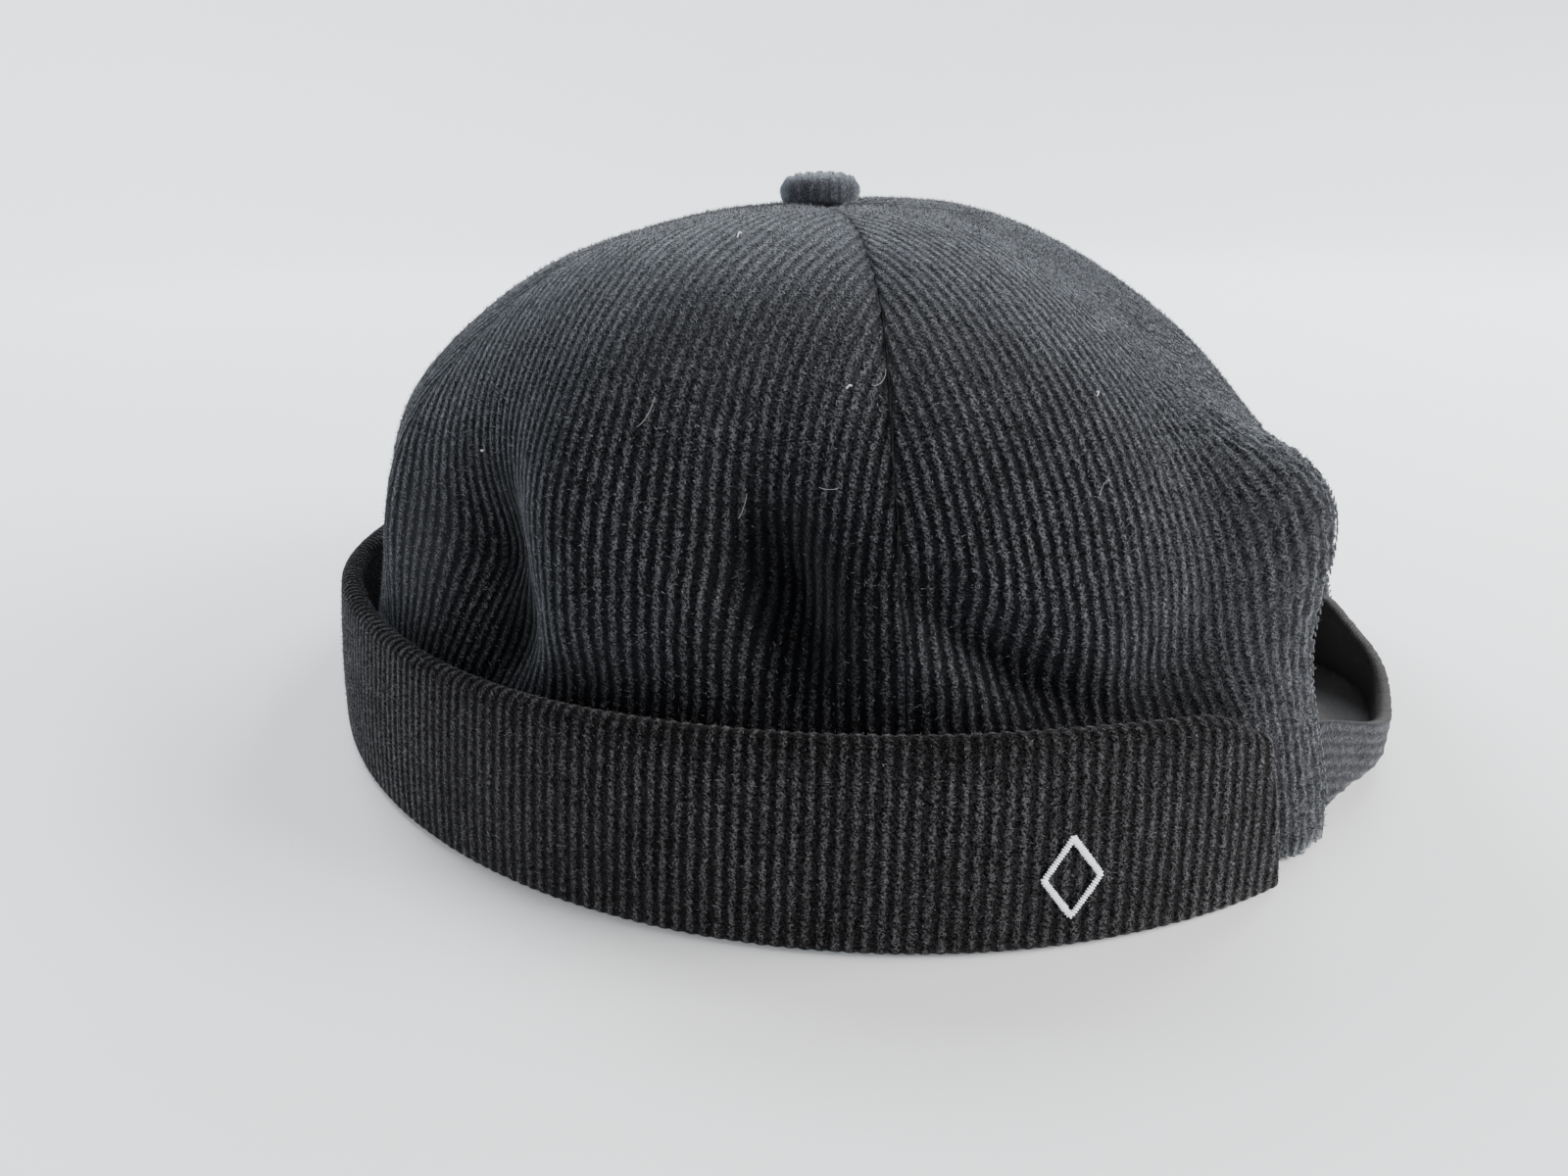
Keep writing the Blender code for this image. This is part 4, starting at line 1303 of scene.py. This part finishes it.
def strap():
    """The strap, which stands for its solid."""
    azimuth = np.linspace(-STRAP_END_AZIMUTH, STRAP_END_AZIMUTH, STRAP_STATIONS + 1)
    count = WALE_SAMPLES * math.ceil((STRAP_HEIGHT + STRAP_OVERLAP) / COLUMN_STEP / WALE_SAMPLES)
    offsets = np.arange(count + 1) * COLUMN_STEP
    radius, height, down = strap_lines(azimuth, offsets)
    run, drop = np.gradient(radius, axis=1), np.gradient(height, axis=1)
    length = np.hypot(run, drop) + 1e-9
    inner_radius = radius + drop / length * STRAP_THICKNESS
    inner_height = height - run / length * STRAP_THICKNESS
    last = np.argmax(down >= down[:, -1:], axis=1)
    for station, end in enumerate(last):
        inner_radius[station, end:] = inner_radius[station, max(end - 1, 0)]
        inner_height[station, end:] = inner_height[station, max(end - 1, 0)]

    def place(r, z):
        return np.stack((np.sin(azimuth)[:, None] * r, np.cos(azimuth)[:, None] * r, z), axis=-1)

    outer = place(radius, height)
    inner = place(inner_radius, inner_height)[:, ::WALE_SAMPLES]
    edge = smooth_step((down[:, -1:] - down) / STRAP_EDGE_SPAN)
    free = smooth_step((STRAP_SEWN_AZIMUTH - np.abs(azimuth)) / STRAP_SEWN_TURN)[:, None]
    kept = [STRAP_LEAST_PILE + (1 - STRAP_LEAST_PILE) * share for share in (edge, free)]
    layers = {
        "across": down,
        "along": np.broadcast_to(azimuth[:, None] * STRAP_REACH, down.shape),
        "pile": kept[0] * kept[1],
        "matted": np.full(down.shape, STRAP_MATTED),
        "ragged": np.full(down.shape, STRAP_RAGGED),
    }
    # Painted light where the inner face turns up, painted shade where it stands upright.
    upright = np.abs(drop) / length
    painted_top_light = smooth_step(STRAP_TOP_LIGHT_LEVEL - STRAP_TOP_LIGHT_LOSS * upright[:, ::WALE_SAMPLES])
    mesh = closed_cloth("back_strap", outer, inner, layers, painted_top_light=painted_top_light)
    piece = add_object("corduroy_strap", mesh)
    raise_wales(piece, STRAP_PILE, CLOTH_BACK, height=STRAP_WALE_HEIGHT)
    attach(piece, "root")
    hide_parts("back_strap")
    print(piece.name, "has", triangles(piece), "triangles")
    return piece


strap_piece = strap()

# %% [markdown]
# ## The covered button
#
# A disc of corduroy is drawn over a domed button, so its wales run straight across the top and down the
# sides. The dome is a turned profile with many steps, and the wale tree reads the distance across it from
# one direction in plan.

# %% Button
BUTTON_SIDES = 200
BUTTON_RIM_RINGS = 9
BUTTON_RINGS = 46
BUTTON_TOP_RADIUS_SHARE = 0.04
BUTTON_TOP_HEIGHT_SHARE = 0.9999
BUTTON_SHANK_RADIUS = 0.0044
BUTTON_SHANK_LENGTH = 0.0024
BUTTON_WALE_TURN = math.radians(118)
BUTTON_WALE_HEIGHT = 0.00020
BUTTON_UNEVENNESS = 0.5
BUTTON_MATTED = 0.7
BUTTON_FULL_PILE = 0.85
BUTTON_PILE_SPAN = 0.0008


def button_profile():
    """Radius and height of the button, from its shank over the widest part to near the top."""
    shoulder = BUTTON_HEIGHT * BUTTON_SHOULDER_SHARE
    profile = [(BUTTON_SHANK_RADIUS, -BUTTON_SHANK_LENGTH), (BUTTON_SHANK_RADIUS, 0.0)]
    for turn in np.linspace(0, math.pi / 2, BUTTON_RIM_RINGS):
        share = BUTTON_FOOT_SHARE + (1 - BUTTON_FOOT_SHARE) * math.sin(turn)
        profile.append((BUTTON_RADIUS * share, shoulder * (1 - math.cos(turn))))
    for turn in np.linspace(0, math.pi / 2, BUTTON_RINGS)[1:-1]:
        rise = shoulder + (BUTTON_HEIGHT - shoulder) * math.sin(turn)
        profile.append((BUTTON_RADIUS * math.cos(turn) ** BUTTON_DOME_POWER, rise))
    profile.append((BUTTON_RADIUS * BUTTON_TOP_RADIUS_SHARE, BUTTON_HEIGHT * BUTTON_TOP_HEIGHT_SHARE))
    return np.array(profile)


def button():
    """The covered button, which stands for its solid."""
    profile = button_profile()
    turns = np.linspace(0, 2 * math.pi, BUTTON_SIDES, endpoint=False)
    ring = np.stack((np.cos(turns), np.sin(turns), np.zeros(BUTTON_SIDES)), axis=-1)
    foot = np.array((0.0, CROWN_APEX_Y, CROWN_HEIGHT + PIECE_GAP))
    points = [radius * ring + (0.0, 0.0, height) for radius, height in profile]
    points = foot + np.concatenate(points + [[(0.0, 0.0, BUTTON_HEIGHT)]])
    faces = [list(reversed(range(BUTTON_SIDES)))]
    side = np.arange(BUTTON_SIDES)
    after = (side + 1) % BUTTON_SIDES
    for low in range(0, (len(profile) - 1) * BUTTON_SIDES, BUTTON_SIDES):
        high = low + BUTTON_SIDES
        faces += np.stack((low + side, low + after, high + after, high + side), axis=-1).tolist()
    last = (len(profile) - 1) * BUTTON_SIDES
    faces += [[last + i, last + j, len(points) - 1] for i, j in zip(side.tolist(), after.tolist())]
    x, y, z = (points - foot).T
    cosine, sine = math.cos(BUTTON_WALE_TURN), math.sin(BUTTON_WALE_TURN)
    layers = {
        "across": x * cosine + y * sine + WALE_PITCH / 2,
        "along": y * cosine - x * sine,
        "pile": BUTTON_FULL_PILE * smooth_step(z / BUTTON_PILE_SPAN),
        "matted": np.full(len(points), BUTTON_MATTED),
    }
    mesh = cloth_mesh("crown_button", points, faces, layers, len(faces))
    mesh.shade_smooth()
    piece = add_object("covered_button", mesh)
    raise_wales(piece, BUTTON_PILE, CLOTH_BACK, BUTTON_WALE_HEIGHT, BUTTON_UNEVENNESS)
    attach(piece, "root")
    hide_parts("crown_button")
    print(piece.name, "has", triangles(piece), "triangles")
    return piece


button_piece = button()

# %% [markdown]
# ## Loose fibres of the pile
#
# The pile is not quite closed: single fibres stand out of the ridges, and along the outline of the cap they
# are all that shows of it. A second tree scatters points over the ridges of a piece, most where the pile
# is highest, and stands a fine cone on each, tilted at random. Every cone is closed and has four faces.

# %% Fibres
OFF_THE_TABLE = 1.2 * MILLIMETRE
OFF_THE_TABLE_SLOPE = 1000
FIBRE_START = 0.25
SHADED_FIBRE_LOSS = 0.92
FIBRE_SPLAY = math.radians(55)
TILT_SEEDS = (11, 12)
Fuzz = namedtuple("Fuzz", "density length thickness")
CROWN_FUZZ = Fuzz(density=1.5e6, length=0.00080, thickness=0.000075)
CUFF_FUZZ = Fuzz(density=1.3e6, length=0.00060, thickness=0.000060)
STRAP_FUZZ = Fuzz(density=2.4e6, length=0.00060, thickness=0.000055)
BUTTON_FUZZ = Fuzz(density=6.0e6, length=0.00045, thickness=0.000050)


def random_tilt(graph, seed):
    """A random number from -1 to 1 for each instance."""
    made = graph.node("FunctionNodeRandomValue", {"data_type": "FLOAT"})
    sockets = {"Min": -1.0, "Max": 1.0, "Seed": seed}
    for socket in made.inputs:
        if socket.enabled and socket.name in sockets:
            graph.feed(socket, sockets[socket.name])
    return Number(graph, next(socket for socket in made.outputs if socket.enabled))


def fibre_tree():
    """Stands fine tapered fibres on the ridges of a piece, and leaves only the fibres."""
    sizes = {
        "Density": "Float",
        "Fibre Length": "Float",
        "Fibre Thickness": "Float",
        "Splay": "Float",
        "Seed": "Int",
        "Fibre": "Material",
    }
    graph, given = geometry_tree("pile_fibres", sizes)
    place = graph.node("GeometryNodeInputPosition").outputs[0]
    height = graph.number(graph.node("ShaderNodeSeparateXYZ", sockets={0: place}), 2)
    clear = graph.above(height, OFF_THE_TABLE, OFF_THE_TABLE_SLOPE)
    # Fewer fibres where painted shade lies.
    outside_painted_shade = 1.0 - SHADED_FIBRE_LOSS * graph.stored("painted_shade")
    crest = graph.above(graph.stored("ridge"), FIBRE_START, 2.0) * clear * outside_painted_shade
    scattered = graph.node(
        "GeometryNodeDistributePointsOnFaces",
        {"distribute_method": "RANDOM"},
        {
            "Mesh": given["Geometry"],
            "Selection": graph.stored("outside", "BOOLEAN"),
            "Density": crest * given["Density"],
            "Seed": given["Seed"],
        },
    )
    sockets = {
        "Vertices": 3,
        "Radius Top": 0.0,
        "Radius Bottom": given["Fibre Thickness"],
        "Depth": given["Fibre Length"],
    }
    cone = graph.node("GeometryNodeMeshCone", {"fill_type": "NGON"}, sockets)
    tilts = [random_tilt(graph, seed) * given["Splay"] for seed in TILT_SEEDS]
    tilt = graph.node("ShaderNodeCombineXYZ", sockets={0: tilts[0], 1: tilts[1], 2: tilts[1] * 3.0})
    turn = graph.node("FunctionNodeEulerToRotation", sockets={0: tilt.outputs[0]})
    sockets = {0: scattered.outputs["Rotation"], 1: turn.outputs[0]}
    turned = graph.node("FunctionNodeRotateRotation", {"rotation_space": "LOCAL"}, sockets)
    sockets = {
        "Points": scattered.outputs["Points"],
        "Instance": cone.outputs["Mesh"],
        "Rotation": turned.outputs[0],
        "Scale": 0.35 + 1.1 * graph.noise(place, FIBRE_SPOT),
    }
    standing = graph.node("GeometryNodeInstanceOnPoints", sockets=sockets)
    finish_tree(graph, standing.outputs[0], given["Fibre"])
    return graph.tree


FIBRES = fibre_tree()


def add_fibres(piece, fuzz, seed):
    """The loose fibres on one piece of corduroy, as a piece of their own."""
    fibres = add_object("fibres_on_" + piece.name, piece.data.copy())
    values = {
        "Density": fuzz.density,
        "Fibre Length": fuzz.length,
        "Fibre Thickness": fuzz.thickness,
        "Splay": FIBRE_SPLAY,
        "Seed": seed,
        "Fibre": LOOSE_FIBRE,
    }
    grow(fibres, FIBRES, values)
    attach(fibres, "root")
    print(fibres.name, "has", triangles(fibres) // 4, "fibres")


for seed, piece in enumerate(gores):
    add_fibres(piece, CROWN_FUZZ, seed)
add_fibres(cuff_piece, CUFF_FUZZ, seed=20)
add_fibres(strap_piece, STRAP_FUZZ, seed=21)
add_fibres(button_piece, BUTTON_FUZZ, seed=22)
total = sum(triangles(item) for item in bpy.context.scene.collection.objects if item.type == "MESH")
print("triangles in all:", total)

# %% [markdown]
# ## Thread and lint
#
# A row of overlock stitches closes the raw edge of the arched opening. On the cuff a small plain diamond is
# embroidered in white satin stitch, short threads laid side by side across its outline. Last come a few
# loose hairs and specks of lint, which black corduroy collects. All of it starts as lines on the cloth: one
# tree lays stitches along a line, another turns a line into a fine tube.

# %% Thread and lint
HEM_STITCH_INSET = 0.0006
HEM_START_TURN = math.radians(3)
HEM_LINE_POINTS = 80
MARK_SIDE_POINTS = 14
MARK_LIFT = 0.0002
LINT_POINTS = 15
HAIR_LIFT = 0.0003
HAIR_ARCH = 0.0004
STITCH_SPOT = 0.6 * MILLIMETRE
HAIR_RADIUS = 0.000018
SPECK_RADIUS = 0.00011
MARK_AZIMUTH = math.radians(48)
MARK_HEIGHT = 0.0115
MARK_HALF_WIDTH = 0.0040
MARK_HALF_HEIGHT = 0.0058
Lint = namedtuple("Lint", "azimuth height length heading curl")
HAIRS = (
    Lint(azimuth=86.0, height=0.0655, length=0.0042, heading=55, curl=1.4),
    Lint(azimuth=28.0, height=0.0737, length=0.0065, heading=8, curl=2.2),
    Lint(azimuth=17.0, height=0.0732, length=0.0040, heading=-15, curl=-1.2),
    Lint(azimuth=62.0, height=0.0706, length=0.0034, heading=25, curl=1.8),
    Lint(azimuth=67.5, height=0.0611, length=0.0030, heading=-8, curl=0.7),
    Lint(azimuth=76.0, height=0.0570, length=0.0035, heading=65, curl=0.5),
    Lint(azimuth=41.0, height=0.0560, length=0.0030, heading=30, curl=-1.5),
    Lint(azimuth=229.0, height=0.0600, length=0.0050, heading=20, curl=1.6),
    Lint(azimuth=305.0, height=0.0680, length=0.0045, heading=-40, curl=1.1),
)
SPECKS = (
    Lint(azimuth=81.0, height=0.0853, length=0.0006, heading=80, curl=0.0),
    Lint(azimuth=64.5, height=0.0702, length=0.0008, heading=15, curl=0.0),
    Lint(azimuth=37.0, height=0.0660, length=0.0005, heading=50, curl=0.0),
    Lint(azimuth=110.0, height=0.0600, length=0.0006, heading=20, curl=0.0),
)


def on_crown(azimuth, height, out):
    """Points just off the folded cloth of the crown."""
    return crown_cloth(azimuth, climb_at(azimuth, height), -out) + CENTRE_SHIFT


def on_cuff(azimuth, height, out):
    """Points just off the outer face of the cuff."""
    radius = cuff_radius(azimuth) - cuff_lean(height) + out
    return np.stack((np.sin(azimuth) * radius, np.cos(azimuth) * radius, height), axis=-1) + CENTRE_SHIFT


def hem_line(side):
    """The edge of the arched opening on one side, from its foot to its top."""
    turns = np.linspace(HEM_START_TURN, math.pi / 2, HEM_LINE_POINTS)
    half_width = (ARCH_HALF_WIDTH + HEM_STITCH_INSET) * np.cos(turns) ** (2 / ARCH_POWER)
    height = (ARCH_HEIGHT + HEM_STITCH_INSET) * np.sin(turns) ** (2 / ARCH_POWER)
    low = np.zeros_like(turns)

    def is_inside(azimuth):
        return smooth_crown(azimuth, climb_at(azimuth, height))[..., 0] < half_width

    azimuth = bisect(low, low + SEAM_AZIMUTHS[1], is_inside)
    return on_crown(side * azimuth, height, 0.0)


def mark_line():
    """The outline of a diamond on the cuff."""
    corners = np.array(((0, 1), (1, 0), (0, -1), (-1, 0), (0, 1)), float)
    sides = [np.linspace(start, end, MARK_SIDE_POINTS)[:-1] for start, end in zip(corners, corners[1:])]
    shape = np.concatenate(sides + [corners[-1:]])
    azimuth = MARK_AZIMUTH - shape[:, 0] * MARK_HALF_WIDTH / float(cuff_radius(MARK_AZIMUTH))
    return on_cuff(azimuth, MARK_HEIGHT + shape[:, 1] * MARK_HALF_HEIGHT, MARK_LIFT)


def lint_line(lint):
    """A curled line just off the crown."""
    share = np.linspace(0.0, 1.0, LINT_POINTS)
    heading = math.radians(lint.heading) + lint.curl * (share - 0.5)
    step = lint.length / (len(share) - 1)
    sideways = np.cumsum(np.cos(heading)) * step
    up = np.cumsum(np.sin(heading)) * step
    azimuth = math.radians(lint.azimuth) - sideways / CROWN_HALF_WIDTH
    return on_crown(azimuth, lint.height + up, HAIR_LIFT + HAIR_ARCH * np.sin(math.pi * share))


def lines_object(name, lines):
    """An object that holds nothing but lines."""
    points, edges = [], []
    for line in lines:
        first = len(points)
        points += line.tolist()
        edges += [(first + i, first + i + 1) for i in range(len(line) - 1)]
    mesh = bpy.data.meshes.new(name)
    mesh.from_pydata(points, edges, [])
    return add_object(name, mesh)


def stitch_tree():
    """Lays stitches along lines, each turned by the same angle on the cloth."""
    sizes = {"Step": "Float", "Stitch": "Vector", "Turn": "Float", "Thread": "Material"}
    graph, given = geometry_tree("stitches", sizes)
    curve = graph.node("GeometryNodeMeshToCurve", sockets={0: given["Geometry"]})
    sockets = {"Curve": curve.outputs[0], "Length": given["Step"]}
    points = graph.node("GeometryNodeCurveToPoints", {"mode": "LENGTH"}, sockets)
    place = graph.node("GeometryNodeInputPosition").outputs[0]
    sockets = {0: place, 1: (1.0, 1.0, 0.25)}
    outward = graph.node("ShaderNodeVectorMath", {"operation": "MULTIPLY"}, sockets)
    standing = graph.node("FunctionNodeAlignRotationToVector", {"axis": "Z"}, {"Vector": outward.outputs[0]})
    sockets = {"Rotation": standing.outputs[0], "Vector": points.outputs["Tangent"]}
    laid = graph.node("FunctionNodeAlignRotationToVector", {"axis": "X", "pivot_axis": "Z"}, sockets)
    turn = graph.node("ShaderNodeCombineXYZ", sockets={2: given["Turn"]})
    turn = graph.node("FunctionNodeEulerToRotation", sockets={0: turn.outputs[0]})
    sockets = {0: laid.outputs[0], 1: turn.outputs[0]}
    rotated = graph.node("FunctionNodeRotateRotation", {"rotation_space": "LOCAL"}, sockets)
    bead = graph.node("GeometryNodeMeshUVSphere", sockets={"Segments": 8, "Rings": 5, "Radius": 0.5})
    uneven = 0.65 + 0.7 * graph.noise(place, STITCH_SPOT)
    sockets = {0: given["Stitch"], "Scale": uneven}
    size = graph.node("ShaderNodeVectorMath", {"operation": "SCALE"}, sockets)
    sockets = {
        "Points": points.outputs["Points"],
        "Instance": bead.outputs["Mesh"],
        "Rotation": rotated.outputs[0],
        "Scale": size.outputs[0],
    }
    stitches = graph.node("GeometryNodeInstanceOnPoints", sockets=sockets)
    finish_tree(graph, stitches.outputs[0], given["Thread"])
    return graph.tree


def tube_tree():
    """Turns lines into closed tubes."""
    graph, given = geometry_tree("tubes", {"Radius": "Float", "Fluff": "Material"})
    curve = graph.node("GeometryNodeMeshToCurve", sockets={0: given["Geometry"]})
    sockets = {"Resolution": 6, "Radius": given["Radius"]}
    ring = graph.node("GeometryNodeCurvePrimitiveCircle", sockets=sockets)
    sockets = {"Curve": curve.outputs[0], "Profile Curve": ring.outputs[0], "Fill Caps": True}
    tube = graph.node("GeometryNodeCurveToMesh", sockets=sockets)
    finish_tree(graph, tube.outputs[0], given["Fluff"])
    return graph.tree


def dress_lines(name, lines, tree, values):
    """Runs a tree on lines and hangs the result on the root body."""
    piece = grow(lines_object(name, lines), tree, values)
    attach(piece, "root")
    print(piece.name, "has", triangles(piece), "triangles")


STITCHES = stitch_tree()
TUBES = tube_tree()
OVERLOCK = {
    "Step": 0.0012,
    "Stitch": (0.0015, 0.00028, 0.0003),
    "Turn": math.radians(35),
    "Thread": BLACK_THREAD,
}
SATIN = {
    "Step": 0.00040,
    "Stitch": (0.00105, 0.00036, 0.0005),
    "Turn": math.radians(90),
    "Thread": WHITE_THREAD,
}
dress_lines("hem_overlock", [hem_line(1), hem_line(-1)], STITCHES, OVERLOCK)
dress_lines("stitched_diamond", [mark_line()], STITCHES, SATIN)
for name, bits, radius in (("loose_hairs", HAIRS, HAIR_RADIUS), ("lint_specks", SPECKS, SPECK_RADIUS)):
    values = {"Radius": radius, "Fluff": LINT_FLUFF}
    dress_lines(name, [lint_line(bit) for bit in bits], TUBES, values)

# %% [markdown]
# ## Floor and light
#
# The cap stands on a pale, matt floor that curves up into a wall all round, so that no horizon shows. One
# large soft light stands high behind it on the left, like a window, a second high behind it on the right,
# and a third lower down on the right. Dim light from all round keeps the shadows open.

# %% Stage
FLOOR_RADIUS = 1.1
WALL_RADIUS = 0.5
WALL_HEIGHT = 1.3
WALL_ROWS = 16
STAGE_SIDES = 96
STAGE_MERGE_DISTANCE = 1e-5
FLOOR_COLOURS = (0.84, 0.845, 0.85, 1), (0.87, 0.87, 0.87, 1)
FLOOR_SPOT = 0.08
Lamp = namedtuple("Lamp", "name place power colour")
LAMPS = (
    Lamp("window", place=(-0.45, -1.00, 1.10), power=30.0, colour=(0.88, 0.94, 1.0)),
    Lamp("behind", place=(-1.05, 0.20, 0.95), power=20.0, colour=(0.86, 0.93, 1.0)),
    Lamp("right", place=(-0.36, 1.12, 0.66), power=35.0, colour=(1.0, 0.98, 0.96)),
)
LAMP_TARGET = Vector((0, 0, 0.05))
LAMP_SIZE = 0.8
ROOM_COLOUR = (0.93, 0.95, 1.0, 1)
ROOM_STRENGTH = 0.19


def pale_surface():
    """A matt pale paint with the faintest mottling."""
    material, graph, shader, place = new_material("pale_floor")
    colour = graph.mix(graph.noise(place, FLOOR_SPOT), *FLOOR_COLOURS)
    graph.feed_all(shader, {"Base Color": colour, "Roughness": 0.9, "Specular IOR Level": 0.1})
    return material


def add_stage():
    """A round floor that curves up into a wall."""
    profile = [(0.0, 0.0), (FLOOR_RADIUS, 0.0)]
    for turn in np.linspace(0, math.pi / 2, WALL_ROWS + 1)[1:]:
        across, up = math.sin(turn), 1 - math.cos(turn)
        profile.append((FLOOR_RADIUS + WALL_RADIUS * across, WALL_RADIUS * up))
    profile.append((FLOOR_RADIUS + WALL_RADIUS, WALL_HEIGHT))
    outline = bmesh.new()
    points = [outline.verts.new((radius, 0.0, height)) for radius, height in profile]
    edges = [outline.edges.new(pair) for pair in zip(points, points[1:])]
    bmesh.ops.spin(
        outline,
        geom=points + edges,
        cent=(0, 0, 0),
        axis=(0, 0, 1),
        angle=2 * math.pi,
        steps=STAGE_SIDES,
    )
    bmesh.ops.remove_doubles(outline, verts=outline.verts, dist=STAGE_MERGE_DISTANCE)
    bmesh.ops.recalc_face_normals(outline, faces=outline.faces)
    mesh = bpy.data.meshes.new("floor")
    outline.to_mesh(mesh)
    outline.free()
    mesh.shade_smooth()
    floor = add_object("floor", mesh)
    floor.data.materials.append(pale_surface())


def add_light(lamp):
    """A large soft light that faces the cap."""
    light = bpy.data.lights.new(lamp.name, "AREA")
    light.shape = "DISK"
    light.size = LAMP_SIZE
    light.energy = lamp.power
    light.color = lamp.colour
    item = bpy.data.objects.new(lamp.name, light)
    item.location = lamp.place
    item.rotation_euler = (LAMP_TARGET - Vector(lamp.place)).to_track_quat("-Z", "Y").to_euler()
    bpy.context.scene.collection.objects.link(item)


def add_room():
    """Dim even light from all round."""
    room = bpy.data.worlds.new("room")
    room.use_nodes = True
    values = {"Color": ROOM_COLOUR, "Strength": ROOM_STRENGTH}
    Graph(room.node_tree).feed_all(room.node_tree.nodes["Background"], values)
    bpy.context.scene.world = room


add_camera(Vector(CENTRE_SHIFT))
add_stage()
for lamp in LAMPS:
    add_light(lamp)
add_room()
